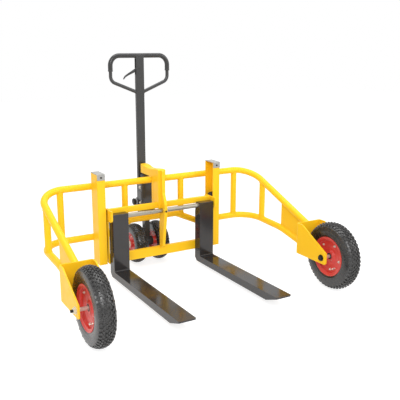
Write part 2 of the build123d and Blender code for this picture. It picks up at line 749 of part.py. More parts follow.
def make_forks():
    """Forks hung on the shaft through bushes, leaning on the lower bar."""
    x_out = carriage_inner - fork_end_gap
    x_in = x_out - fork_width
    bush_radius = fork_shaft_radius + running_fit + fork_bush_wall
    bush = rod_x(bush_radius, x_in, x_out, shaft_y, fork_shaft_height)
    bush -= rod_x(fork_shaft_radius + running_fit, x_in, x_out, shaft_y, fork_shaft_height)
    rear = lower_bar_front - fork_bar_gap
    front = rear - fork_depth
    tip = front - fork_blade_length
    eye_top = fork_shaft_height + fork_eye_height
    eye_rear = shaft_y + fork_eye_radius
    eye_flat = shaft_y + math.sqrt(fork_eye_radius ** 2 - fork_eye_height ** 2)
    eye_turn = math.asin(fork_eye_height / fork_eye_radius) / 2
    mid = (shaft_y + fork_eye_radius * math.cos(eye_turn),
           fork_shaft_height + fork_eye_radius * math.sin(eye_turn))
    neck = fork_shaft_height - fork_eye_height / 2
    shoulder = fork_shaft_height - fork_shoulder_drop
    blade_top = fork_heel_bottom + fork_heel_thickness
    tip_top = fork_tip_bottom + fork_tip_thickness
    lines = [
        Polyline((eye_flat, eye_top), (front + fork_edge_round, eye_top), (front, eye_top - fork_edge_round),
                 (front, blade_top), (tip, tip_top), (tip, tip_top - fork_nose_thickness),
                 (tip + fork_bevel_length, fork_tip_bottom), (rear - fork_heel_cut, fork_heel_bottom),
                 (rear, fork_heel_bottom + fork_heel_cut), (rear, shoulder), (eye_rear, neck),
                 (eye_rear, fork_shaft_height)),
        ThreePointArc((eye_rear, fork_shaft_height), mid, (eye_flat, eye_top)),
    ]
    fork = plate_yz(lines, x_in, x_out)
    corner = fork.edges().filter_by(Axis.X).sort_by_distance((0.5 * (x_in + x_out), front, blade_top))[0]
    fork = fillet(corner, fork_heel_fillet)
    nose = fork.edges().filter_by(Axis.Z).group_by(Axis.Y)[0]
    fork = chamfer(nose, fork_nose_corner)
    fork -= rod_x(bush_radius + running_fit, x_in, x_out, shaft_y, fork_shaft_height)
    nodes["right_fork"] = fork
    nodes["left_fork"] = mirror(fork, about=Plane.YZ)
    nodes["right_fork_bush"] = bush
    nodes["left_fork_bush"] = mirror(bush, about=Plane.YZ)


def make_pump_bracket():
    """Bracket on the arched rail that holds the pump's steering bush."""
    arm = block(-bracket_arm_width / 2, bracket_arm_width / 2, rail_y, steer_y,
                sleeve_top - bracket_arm_height, sleeve_top)
    body = arm + rod_z(sleeve_radius, 0, steer_y, sleeve_bottom, sleeve_top)
    body -= rod_z(sleeve_bore, 0, steer_y, sleeve_bottom, sleeve_top)
    body -= pipe(arch_path(), rail_radius)
    nodes["pump_bracket"] = max(body.solids(), key=lambda s: s.volume)
    bush = rod_z(sleeve_bore, 0, steer_y, sleeve_bottom, sleeve_top)
    bush -= rod_z(pump_neck_radius + running_fit, 0, steer_y, sleeve_bottom, sleeve_top)
    nodes["steer_bush"] = bush


def make_pump():
    """Steered pump casting with its axle, wheels, ram and plunger."""
    hub_half = steer_tyre_width / 2 - steer_side_gap
    boss_half = steer_wheel_x - hub_half - steer_side_gap
    collar_top = sleeve_bottom - thrust_gap
    half = pump_width / 2
    front = steer_y - pump_front_depth
    rear = steer_y + pump_rear_depth
    body = block(-half, half, front, rear, pump_bottom, pump_top)
    body = fillet(body.edges().filter_by(Axis.Z), pump_round)
    body = fillet(body.faces().sort_by(Axis.Z)[-1].edges(), pump_round / 2)
    casting = body + rod_z(pump_neck_radius, 0, steer_y, collar_top, pump_bottom)
    casting += rod_z(thrust_collar_radius, 0, steer_y, collar_top - thrust_collar_height, collar_top)
    casting += block(-column_width / 2, column_width / 2, steer_y - column_depth / 2,
                     steer_y + column_depth / 2, steer_tyre_radius, collar_top - thrust_collar_height)
    casting += rod_x(steer_boss_radius, -boss_half, boss_half, steer_y, steer_tyre_radius)
    casting += rod_z(pump_head_radius, 0, steer_y, pump_top, pump_top + pump_head_height)
    casting += rod_z(barrel_radius, 0, drive_y, barrel_bottom, barrel_top)
    casting += block(-barrel_radius, barrel_radius, steer_y, drive_y, pump_bottom + 2 * thrust_gap,
                     barrel_top)
    lug_inner = handle_width / 2 + pivot_side_gap
    lug_outer = lug_inner + pivot_lug_thickness
    for side in (-1, 1):
        lug = rod_x(pivot_lug_radius, side * lug_inner, side * lug_outer, handle_y, handle_pivot_height)
        lug += block(side * lug_inner, side * lug_outer, steer_y, handle_y,
                     handle_pivot_height - pivot_lug_radius, handle_pivot_height + pivot_lug_radius)
        casting += lug
    ram_bottom = arm_bottom - ram_arm_gap - ram_length
    casting -= rod_z(ram_radius + running_fit, 0, steer_y, ram_bottom - barrel_floor,
                     pump_top + pump_head_height)
    casting -= rod_z(plunger_radius + running_fit, 0, drive_y, barrel_bottom + barrel_floor, barrel_top)
    casting -= rod_x(steer_axle_radius + running_fit, -boss_half, boss_half, steer_y, steer_tyre_radius)
    casting -= rod_x(pivot_pin_radius + running_fit, -lug_outer, lug_outer, handle_y, handle_pivot_height)
    nodes["pump_casting"] = casting
    nodes["lift_ram"] = rod_z(ram_radius, 0, steer_y, ram_bottom, arm_bottom - ram_arm_gap)
    nodes["pump_plunger"] = rod_z(plunger_radius, 0, drive_y, plunger_top - plunger_length, plunger_top)
    pin_half = lug_outer + pivot_pin_end
    nodes["handle_pivot_pin"] = rod_x(pivot_pin_radius, -pin_half, pin_half, handle_y, handle_pivot_height)

    wheel_end = steer_wheel_x + hub_half
    nut_start = wheel_end + steer_side_gap
    nut_end = nut_start + steer_nut
    axle_half = nut_end + steer_thread_end
    axle = rod_x(steer_axle_radius, -axle_half, axle_half, steer_y, steer_tyre_radius)
    nut = hex_x(steer_nut_radius, nut_start, nut_end, steer_y, steer_tyre_radius)
    nut -= rod_x(steer_axle_radius + running_fit, nut_start, nut_end, steer_y, steer_tyre_radius)
    nodes["steer_axle"] = group([axle, nut, mirror(nut, about=Plane.YZ)])

    rim_half = steer_tyre_width / 2 - flange_width_margin / 2
    rim = spin_x(rim_outline(steer_seat_radius, steer_flange_radius, rim_half, steer_disc_recess,
                             steer_hub_radius), 0, 0, 0)
    rim += rod_x(steer_hub_radius, -hub_half, hub_half, 0, 0)
    rim -= rod_x(steer_axle_radius + running_fit, -hub_half, hub_half, 0, 0)
    tyre = spin_x(tyre_outline(steer_tyre_radius, steer_tyre_width, steer_tread_width, steer_shoulder_drop,
                               steer_seat_radius, steer_flange_radius, rim_half), 0, 0, 0)
    for name, side in (("left", -1), ("right", 1)):
        place = Pos(side * steer_wheel_x, steer_y, steer_tyre_radius)
        nodes[name + "_steer_tyre"] = place * tyre
        nodes[name + "_steer_rim"] = place * rim


def handle_envelope(z0, z1):
    """Outer form of the handle shaft between two heights."""
    half_w = handle_width / 2
    half_t = handle_thickness / 2
    form = block(-half_w, half_w, handle_y - half_t, handle_y + half_t, z0, z1)
    return fillet(form.edges().filter_by(Axis.Z), handle_round)


def make_handle():
    """Handle shaft, loop, grips, drive roller, control lever and rod."""
    half_w = handle_width / 2
    half_t = handle_thickness / 2
    foot_top = handle_pivot_height + handle_foot_height
    shaft = handle_envelope(handle_pivot_height, loop_top)
    shaft += rod_x(grip_radius, -half_w, half_w, handle_y, loop_top)
    shaft += rod_x(handle_eye_radius, -half_w, half_w, handle_y, handle_pivot_height)
    ear_inner = half_w - drive_ear
    for side in (-1, 1):
        ear = rod_x(drive_ear_radius, side * ear_inner, side * half_w, drive_y, drive_z)
        arm = Polyline((handle_y, handle_pivot_height - drive_ear_radius / 2),
                       (drive_y, drive_z - drive_ear_radius), (drive_y, drive_z + drive_ear_radius),
                       (handle_y, drive_z + 2 * drive_ear_radius), close=True)
        ear += plate_yz(arm, side * ear_inner, side * half_w)
        shaft += ear
    hollow = block(-half_w + handle_wall, half_w - handle_wall, handle_y - half_t + handle_wall,
                   handle_y + half_t - handle_wall, foot_top, loop_top - grip_radius)
    guide = block(-half_w + handle_wall, half_w - handle_wall, handle_y - half_t + handle_wall,
                  handle_y + half_t - handle_wall, foot_top, foot_top + rod_guide_height)
    slot = block(-half_w, -half_w + handle_wall, handle_y - lever_slot_width / 2,
                 handle_y + lever_slot_width / 2, lever_pin_height - lever_slot_drop,
                 lever_pin_height + lever_slot_rise)
    roller_room = block(-ear_inner, ear_inner, handle_y + half_t, drive_y + 2 * drive_roller_radius,
                        handle_pivot_height - drive_roller_radius, drive_z + 2 * drive_roller_radius)
    roller_room += rod_x(drive_roller_radius + pivot_side_gap, -ear_inner, ear_inner, drive_y, drive_z)
    shaft = shaft - hollow + guide
    shaft -= slot
    shaft -= roller_room
    shaft -= rod_x(pivot_pin_radius + running_fit, -half_w, half_w, handle_y, handle_pivot_height)
    shaft -= rod_x(drive_pin_radius + running_fit, -half_w, half_w, drive_y, drive_z)
    shaft -= rod_x(loop_radius + running_fit, -half_w, half_w, handle_y, loop_top)
    shaft -= rod_y(lever_pin_radius + running_fit, -lever_pin_offset, handle_y - half_t, handle_y + half_t,
                   lever_pin_height)
    shaft -= rod_z(rod_radius + running_fit, rod_offset, handle_y, foot_top - rod_guide_height,
                   foot_top + rod_guide_height)
    nodes["handle_shaft"] = max(shaft.solids(), key=lambda s: s.volume)

    roller_half = ear_inner - pivot_side_gap
    roller = rod_x(drive_roller_radius, -roller_half, roller_half, drive_y, drive_z)
    roller -= rod_x(drive_pin_radius + running_fit, -ear_inner, ear_inner, drive_y, drive_z)
    nodes["drive_roller"] = roller
    nodes["drive_roller_pin"] = rod_x(drive_pin_radius, -half_w, half_w, drive_y, drive_z)

    one_side = [(half_w / 2, loop_foot_height), (loop_half_width, loop_knee_height),
                (loop_half_width, loop_top)]
    points = one_side + [(-x, z) for x, z in reversed(one_side)]
    route = FilletPolyline(*[(x, handle_y, z) for x, z in points],
                           radius=[loop_knee_bend, loop_top_bend, loop_top_bend, loop_knee_bend])
    tube = pipe(route, loop_radius) - handle_envelope(handle_pivot_height, loop_knee_height)
    nodes["handle_loop"] = max(tube.solids(), key=lambda s: s.volume)
    grip_route = FilletPolyline((half_w, handle_y, loop_top), (loop_half_width, handle_y, loop_top),
                                (loop_half_width, handle_y, grip_end_height), radius=loop_top_bend)
    grip = pipe(grip_route, grip_radius, grip_radius - loop_radius - running_fit)
    nodes["handle_grips"] = both_sides(grip)

    lever_y0 = handle_y - lever_thickness / 2
    lever_y1 = handle_y + lever_thickness / 2
    pin_x = -lever_pin_offset
    blade = Polyline((pin_x, lever_pin_height + lever_root),
                     (-lever_elbow_x, lever_elbow_height + lever_tip),
                     (-lever_tip_x, lever_tip_height),
                     (-lever_tip_x + lever_tip, lever_tip_height - lever_tip),
                     (-lever_elbow_x + lever_tip, lever_elbow_height - lever_tip),
                     (pin_x, lever_pin_height - lever_root), close=True)
    lever = plate_xz(blade, lever_y0, lever_y1)
    lever += rod_y(lever_root, pin_x, lever_y0, lever_y1, lever_pin_height)
    lever += block(pin_x, rod_offset + rod_radius, lever_y0, lever_y1, lever_pin_height - lever_pin_radius,
                   lever_pin_height + lever_pin_radius)
    lever -= rod_y(lever_pin_radius + running_fit, pin_x, lever_y0, lever_y1, lever_pin_height)
    nodes["control_lever"] = lever
    nodes["lever_pin"] = rod_y(lever_pin_radius, pin_x, handle_y - half_t, handle_y + half_t,
                               lever_pin_height)
    rod_top = lever_pin_height - lever_pin_radius - rod_lever_gap
    nodes["control_rod"] = rod_z(rod_radius, rod_offset, handle_y, foot_top, rod_top)


make_masts()
make_rails()
make_wheel_brackets()
make_front_wheels()
make_carriage()
make_forks()
make_pump_bracket()
make_pump()
make_handle()

os.makedirs("parts", exist_ok=True)
for name, shape in nodes.items():
    export_step(shape, "parts/" + name + ".step")
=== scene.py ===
import json
import math

import bmesh
import bpy
from mathutils import Matrix, Vector


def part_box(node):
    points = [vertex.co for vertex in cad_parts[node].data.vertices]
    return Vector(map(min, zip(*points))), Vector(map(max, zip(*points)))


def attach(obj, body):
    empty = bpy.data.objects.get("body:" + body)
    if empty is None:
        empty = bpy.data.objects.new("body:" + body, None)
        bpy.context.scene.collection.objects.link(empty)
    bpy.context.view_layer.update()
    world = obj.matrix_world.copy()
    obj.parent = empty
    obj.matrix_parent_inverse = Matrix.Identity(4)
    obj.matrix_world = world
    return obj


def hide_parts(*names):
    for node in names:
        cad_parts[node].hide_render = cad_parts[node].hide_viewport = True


# All-terrain pallet jack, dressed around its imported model. Lengths are in metres.
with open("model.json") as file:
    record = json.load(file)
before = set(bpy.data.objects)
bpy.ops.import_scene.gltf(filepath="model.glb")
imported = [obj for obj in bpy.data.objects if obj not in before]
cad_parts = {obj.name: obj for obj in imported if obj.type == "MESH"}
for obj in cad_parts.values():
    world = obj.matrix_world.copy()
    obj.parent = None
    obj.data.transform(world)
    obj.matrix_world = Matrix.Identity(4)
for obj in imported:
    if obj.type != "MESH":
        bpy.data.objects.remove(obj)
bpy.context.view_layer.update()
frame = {"nodes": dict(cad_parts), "record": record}
nodes = frame["nodes"]
scene = bpy.context.scene
MM = 0.001
TAU = 2 * math.pi
SIDES = {"left": -1, "right": 1}


# Materials

# Between these cosines of the bevelled and the plain normal, a point passes from a face to an edge
EDGE_COSINES = (0.99, 0.80)
# Size of the patches where an edge is lightened, by wear on metals and by painted highlight on paint and
# rubber, and the most of the edge colour that shows there
EDGE_WEAR_AND_HIGHLIGHT_SCALE = 60.0
EDGE_WEAR_AND_HIGHLIGHT_MOST = 0.7


def linear(red, green, blue):
    """Linear colour of an sRGB colour given in 0 to 255."""
    def channel(value):
        share = value / 255
        return share / 12.92 if share <= 0.04045 else ((share + 0.055) / 1.055) ** 2.4
    return (channel(red), channel(green), channel(blue), 1.0)


def noise(tree, place, scale, detail=3.0, roughness=0.55):
    """A noise texture on a coordinate socket."""
    node = tree.nodes.new("ShaderNodeTexNoise")
    node.inputs["Scale"].default_value = scale
    node.inputs["Detail"].default_value = detail
    node.inputs["Roughness"].default_value = roughness
    tree.links.new(place, node.inputs["Vector"])
    return node.outputs["Fac"]


def remap(tree, value, low, high, to_low, to_high):
    """A clamped change of range."""
    node = tree.nodes.new("ShaderNodeMapRange")
    for name, number in (("From Min", low), ("From Max", high), ("To Min", to_low), ("To Max", to_high)):
        node.inputs[name].default_value = number
    tree.links.new(value, node.inputs["Value"])
    return node.outputs["Result"]


def multiply(tree, first, second):
    """The product of two sockets."""
    node = tree.nodes.new("ShaderNodeMath")
    node.operation = "MULTIPLY"
    tree.links.new(first, node.inputs[0])
    tree.links.new(second, node.inputs[1])
    return node.outputs["Value"]


def blend_colour(tree, share, first, second):
    """A mix of two colours, each a socket or a value, by a share socket."""
    node = tree.nodes.new("ShaderNodeMix")
    node.data_type = "RGBA"
    tree.links.new(share, node.inputs["Factor"])
    for name, colour in (("A", first), ("B", second)):
        socket = [entry for entry in node.inputs if entry.name == name and entry.type == "RGBA"][0]
        if isinstance(colour, tuple):
            socket.default_value = colour
        else:
            tree.links.new(colour, socket)
    return [entry for entry in node.outputs if entry.type == "RGBA"][0]


def edge_share(tree, radius):
    """How close a point lies to a sharp edge, from the bevelled normal, with that normal."""
    bevel = tree.nodes.new("ShaderNodeBevel")
    bevel.samples = 6
    bevel.inputs["Radius"].default_value = radius
    geometry = tree.nodes.new("ShaderNodeNewGeometry")
    dot = tree.nodes.new("ShaderNodeVectorMath")
    dot.operation = "DOT_PRODUCT"
    tree.links.new(bevel.outputs["Normal"], dot.inputs[0])
    tree.links.new(geometry.outputs["Normal"], dot.inputs[1])
    return remap(tree, dot.outputs["Value"], *EDGE_COSINES, 0.0, 1.0), bevel.outputs["Normal"]


def surface(name, base, second, tone_scale=4.0, roughness=(0.3, 0.4), rough_scale=18.0, bump_scale=500.0,
            bump_depth=0.05 * MM, metallic=0.0, edge_wear_and_highlight=None, edge_radius=1.5 * MM, stretch=(1, 1, 1),
            specular=0.5):
    """A finish with slow tone change, patchy gloss, fine relief and edges lightened towards another colour,
    as wear on metals and as painted highlight on paint and rubber.
    """
    material = bpy.data.materials.new(name)
    material.use_nodes = True
    tree = material.node_tree
    shader = tree.nodes["Principled BSDF"]
    shader.inputs["Metallic"].default_value = metallic
    shader.inputs["Specular IOR Level"].default_value = specular
    coordinates = tree.nodes.new("ShaderNodeTexCoord")
    mapping = tree.nodes.new("ShaderNodeMapping")
    mapping.inputs["Scale"].default_value = stretch
    tree.links.new(coordinates.outputs["Object"], mapping.inputs["Vector"])
    place = mapping.outputs["Vector"]
    tone = remap(tree, noise(tree, place, tone_scale), 0.3, 0.7, 0.0, 1.0)
    colour = blend_colour(tree, tone, base, second)
    gloss = remap(tree, noise(tree, place, rough_scale, 4.0), 0.3, 0.7, *roughness)
    tree.links.new(gloss, shader.inputs["Roughness"])
    bump = tree.nodes.new("ShaderNodeBump")
    bump.inputs["Strength"].default_value = 1.0
    bump.inputs["Distance"].default_value = bump_depth
    tree.links.new(noise(tree, place, bump_scale, 2.0), bump.inputs["Height"])
    # Edges blended in patches towards the edge colour: painted highlight on the paints and rubbers, wear on
    # the metals and the black fork paint
    if edge_wear_and_highlight:
        near_edge, soft_normal = edge_share(tree, edge_radius)
        patchy = remap(tree, noise(tree, place, EDGE_WEAR_AND_HIGHLIGHT_SCALE, 4.0), 0.4, 0.65, 0.0, EDGE_WEAR_AND_HIGHLIGHT_MOST)
        colour = blend_colour(tree, multiply(tree, near_edge, patchy), colour, edge_wear_and_highlight)
        tree.links.new(soft_normal, bump.inputs["Normal"])
    tree.links.new(colour, shader.inputs["Base Color"])
    tree.links.new(bump.outputs["Normal"], shader.inputs["Normal"])
    return material


# Edge colours: on the yellow, red, grey and charcoal paints and the grip rubber, a painted highlight along
# edges with a little rubbing; on the metals and the black fork paint, wear
finishes = {
    "yellow_paint": surface("yellow_paint", linear(255, 204, 34), linear(252, 197, 28), tone_scale=2.2,
                            roughness=(0.32, 0.44), bump_scale=420.0, edge_wear_and_highlight=linear(255, 222, 116),
                            specular=0.22),
    "grey_cap": surface("grey_cap", linear(163, 163, 160), linear(152, 152, 149), tone_scale=9.0,
                        roughness=(0.32, 0.45), bump_scale=600.0, edge_wear_and_highlight=linear(212, 213, 214)),
    "black_oxide": surface("black_oxide", linear(46, 42, 38), linear(32, 30, 29), tone_scale=60.0,
                           roughness=(0.35, 0.55), metallic=0.6, edge_wear_and_highlight=linear(96, 92, 88),
                           edge_radius=0.8 * MM),
    "zinc": surface("zinc", linear(224, 217, 202), linear(206, 201, 190), tone_scale=70.0, metallic=0.6,
                    roughness=(0.24, 0.40), rough_scale=120.0, edge_wear_and_highlight=linear(238, 234, 224),
                    edge_radius=0.6 * MM),
    "bright_steel": surface("bright_steel", linear(166, 161, 147), linear(154, 149, 136), tone_scale=30.0,
                            metallic=1.0, roughness=(0.26, 0.34), rough_scale=90.0, bump_scale=600.0,
                            bump_depth=0.008 * MM, stretch=(0.05, 1, 1), edge_wear_and_highlight=linear(206, 202, 192),
                            edge_radius=0.8 * MM),
    "bronze": surface("bronze", linear(176, 132, 74), linear(150, 108, 58), tone_scale=60.0, metallic=1.0,
                      roughness=(0.30, 0.45), edge_wear_and_highlight=linear(208, 168, 106), edge_radius=0.6 * MM),
    "black_gloss": surface("black_gloss", linear(46, 44, 44), linear(40, 38, 38), tone_scale=6.0,
                           roughness=(0.10, 0.20), rough_scale=9.0, bump_scale=26.0, bump_depth=0.10 * MM,
                           edge_wear_and_highlight=linear(86, 84, 82)),
    # The light grey edge colour on the tyres is a painted highlight: glints on the edges of the tread blocks
    "tyre_rubber": surface("tyre_rubber", linear(36, 35, 35), linear(24, 23, 23), tone_scale=40.0,
                           roughness=(0.16, 0.36), rough_scale=60.0, bump_scale=900.0, bump_depth=0.10 * MM,
                           edge_wear_and_highlight=linear(184, 181, 177), edge_radius=1.6 * MM, specular=0.7),
    "red_paint": surface("red_paint", linear(216, 66, 57), linear(202, 57, 50), tone_scale=12.0,
                         roughness=(0.28, 0.40), bump_scale=520.0, edge_wear_and_highlight=linear(226, 92, 80),
                         edge_radius=1.2 * MM),
    "charcoal_paint": surface("charcoal_paint", linear(56, 56, 56), linear(50, 50, 50), tone_scale=5.0,
                              roughness=(0.18, 0.26), bump_scale=650.0, bump_depth=0.012 * MM,
                              edge_wear_and_highlight=linear(104, 104, 104)),
    "grip_rubber": surface("grip_rubber", linear(45, 45, 45), linear(38, 38, 38), tone_scale=20.0,
                           roughness=(0.20, 0.30), bump_scale=1100.0, bump_depth=0.02 * MM,
                           edge_wear_and_highlight=linear(90, 90, 90), edge_radius=1.0 * MM),
}
for entry in frame["record"]["subparts"]:
    materials = nodes[entry["node"]].data.materials
    materials.clear()
    materials.append(finishes[entry["material_slot"]])


# Mesh helpers

def add_piece(name, bm, slot, body, replaced=(), sharp_degrees=38.0):
    """Turns a mesh under construction into a piece that rides on a body."""
    bmesh.ops.recalc_face_normals(bm, faces=bm.faces)
    mesh = bpy.data.meshes.new(name)
    bm.to_mesh(mesh)
    bm.free()
    mesh.materials.append(finishes[slot])
    mesh.polygons.foreach_set("use_smooth", [True] * len(mesh.polygons))
    mesh.set_sharp_from_angle(angle=math.radians(sharp_degrees))
    piece = bpy.data.objects.new(name, mesh)
    scene.collection.objects.link(piece)
    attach(piece, body)
    if replaced:
        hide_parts(*replaced)


def skin(bm, rings, wrap=False):
    """Skins closed rings of points: wrap joins the last ring to the first, otherwise the ends are capped."""
    made = [[bm.verts.new(point) for point in ring] for ring in rings]
    count = len(made[0])
    pairs = list(zip(made, made[1:]))
    if wrap:
        pairs.append((made[-1], made[0]))
    for first, second in pairs:
        for i in range(count):
            j = (i + 1) % count
            bm.faces.new((first[i], first[j], second[j], second[i]))
    if not wrap:
        bm.faces.new(made[0])
        bm.faces.new(made[-1])


def turned(bm, origin, axis, profile, sides=24, turn=0.0):
    """A solid turned about an axis, from (height, radius) pairs; few sides make a prism."""
    axis = Vector(axis).normalized()
    across = axis.orthogonal().normalized()
    beside = axis.cross(across)
    rings = []
    for height, radius in profile:
        centre = Vector(origin) + axis * height
        ring = []
        for i in range(sides):
            angle = turn + TAU * i / sides
            ring.append(centre + (across * math.cos(angle) + beside * math.sin(angle)) * radius)
        rings.append(ring)
    skin(bm, rings)


def in_metres(profile):
    """A profile given in millimetres, in metres."""
    return [(height * MM, radius * MM) for height, radius in profile]


def hex_head(bm, origin, axis, radius, height, turn=0.0):
    """A hexagon head with a chamfered top, on a round washer."""
    washer = 0.22 * height
    turned(bm, origin, axis, [(0, 1.22 * radius), (0.8 * washer, 1.22 * radius), (washer, 1.14 * radius)])
    hexagon = [(0.5 * washer, radius), (0.86 * height, radius), (height, 0.84 * radius)]
    turned(bm, origin, axis, hexagon, 6, turn)


def lathe_x(bm, centre, section, segments):
    """A ring turned about an X axis, from a closed section of (x, radius) points."""
    rings = []
    for i in range(segments):
        angle = TAU * i / segments
        rings.append([centre + Vector((x, r * math.cos(angle), r * math.sin(angle))) for x, r in section])
    skin(bm, rings, wrap=True)


def arc(start, middle, end, steps):
    """Points on the circle through three (x, y) points."""
    (ax, ay), (bx, by), (cx, cy) = start, middle, end
    d = 2 * (ax * (by - cy) + bx * (cy - ay) + cx * (ay - by))
    a2, b2, c2 = ax * ax + ay * ay, bx * bx + by * by, cx * cx + cy * cy
    ux = (a2 * (by - cy) + b2 * (cy - ay) + c2 * (ay - by)) / d
    uy = (a2 * (cx - bx) + b2 * (ax - cx) + c2 * (bx - ax)) / d
    radius = math.hypot(ax - ux, ay - uy)
    first = math.atan2(ay - uy, ax - ux)
    swing = math.remainder(math.atan2(cy - uy, cx - ux) - first, TAU)
    half = math.remainder(math.atan2(by - uy, bx - ux) - first, TAU)
    if half * swing < 0:
        swing -= math.copysign(TAU, swing)
    angles = [first + swing * i / steps for i in range(steps + 1)]
    return [(ux + radius * math.cos(angle), uy + radius * math.sin(angle)) for angle in angles]


def resample(path, step, closed):
    """Evenly spaced points along straight runs between path points."""
    path = [Vector(point) for point in path]
    if closed:
        path.append(path[0])
    lengths = [(b - a).length for a, b in zip(path, path[1:])]
    count = max(2, round(sum(lengths) / step))
    points = []
    index, start = 0, 0.0
    for i in range(count if closed else count + 1):
        target = sum(lengths) * i / count
        while index < len(lengths) - 1 and target > start + lengths[index]:
            start += lengths[index]
            index += 1
        share = (target - start) / max(lengths[index], 1e-9)
        points.append(path[index].lerp(path[index + 1], share))
    return points


def tube(bm, points, radii, sides=8, closed=False):
    """A tube along points with a radius at each."""
    rings = []
    across = None
    last = len(points) - 1
    for i, point in enumerate(points):
        ahead = points[(i + 1) % len(points)] if closed else points[min(i + 1, last)]
        behind = points[i - 1] if closed else points[max(i - 1, 0)]
        along = (ahead - behind).normalized()
        across = along.orthogonal() if across is None else across - along * across.dot(along)
        across.normalize()
        beside = along.cross(across)
        ring = []
        for k in range(sides):
            angle = TAU * k / sides
            ring.append(point + (across * math.cos(angle) + beside * math.sin(angle)) * radii[i])
        rings.append(ring)
    skin(bm, rings, wrap=closed)


RIPPLE_PITCH = 5.2 * MM
SMALL_BEAD = 2.2 * MM
PLATE_BEAD = 2.6 * MM
PIPE_BEAD = 2.8 * MM
HEAVY_BEAD = 3.2 * MM
HEEL_BEAD = 4.2 * MM


def weld(bm, path, radius=PLATE_BEAD, closed=False):
    """A weld bead: a rippled tube along a path, with tapered ends where it is open."""
    points = resample(path, RIPPLE_PITCH / 4, closed)
    count = len(points)
    radii = []
    for i in range(count):
        swell = 1.0 + 0.13 * math.sin(TAU * i / 4 + 0.6)
        taper = 1.0 if closed else min(1.0, 0.55 + 0.15 * min(i, count - 1 - i))
        radii.append(radius * swell * taper)
    tube(bm, points, radii, sides=6, closed=closed)


def islands(node):
    """Low and high corners of each separate solid of a CAD node, ordered by place."""
    bm = bmesh.new()
    bm.from_mesh(nodes[node].data)
    bmesh.ops.remove_doubles(bm, verts=bm.verts, dist=0.001 * MM)
    todo = set(bm.verts)
    found = []
    while todo:
        stack = [todo.pop()]
        members = []
        while stack:
            vert = stack.pop()
            members.append(vert.co.copy())
            for edge in vert.link_edges:
                other = edge.other_vert(vert)
                if other in todo:
                    todo.remove(other)
                    stack.append(other)
        low = Vector([min(point[i] for point in members) for i in range(3)])
        high = Vector([max(point[i] for point in members) for i in range(3)])
        found.append((low, high))
    bm.free()
    return sorted(found, key=lambda pair: tuple(round(value, 4) for value in pair[0]))


def middle(node):
    """The middle of a CAD node's box."""
    low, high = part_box(node)
    return (low + high) / 2


# Tyres

# Tread width, drop of the crown at its edge, block height, blocks in a row, half length and half width of
# a block, and the rows' offsets from the middle
TREADS = {
    "front": {"width": 82 * MM, "drop": 15 * MM, "knob": 7.5 * MM, "count": 48, "long_half": 5.9 * MM,
              "wide_half": 4.5 * MM, "offsets": [v * MM for v in (-25.7, -12.8, 0.0, 12.8, 25.7)]},
    "steer": {"width": 70 * MM, "drop": 12 * MM, "knob": 5.5 * MM, "count": 36, "long_half": 5.4 * MM,
              "wide_half": 3.8 * MM, "offsets": [v * MM for v in (-20.0, -10.0, 0.0, 10.0, 20.0)]},
}
ROW_YAWS = [math.radians(a) for a in (12, -8, 0, 8, -12)]
BLOCK_ROOT = -1.2 * MM
LONG_LUG = 14.0 * MM
SHORT_LUG = 8.0 * MM
SIDE_RIB = 0.9 * MM


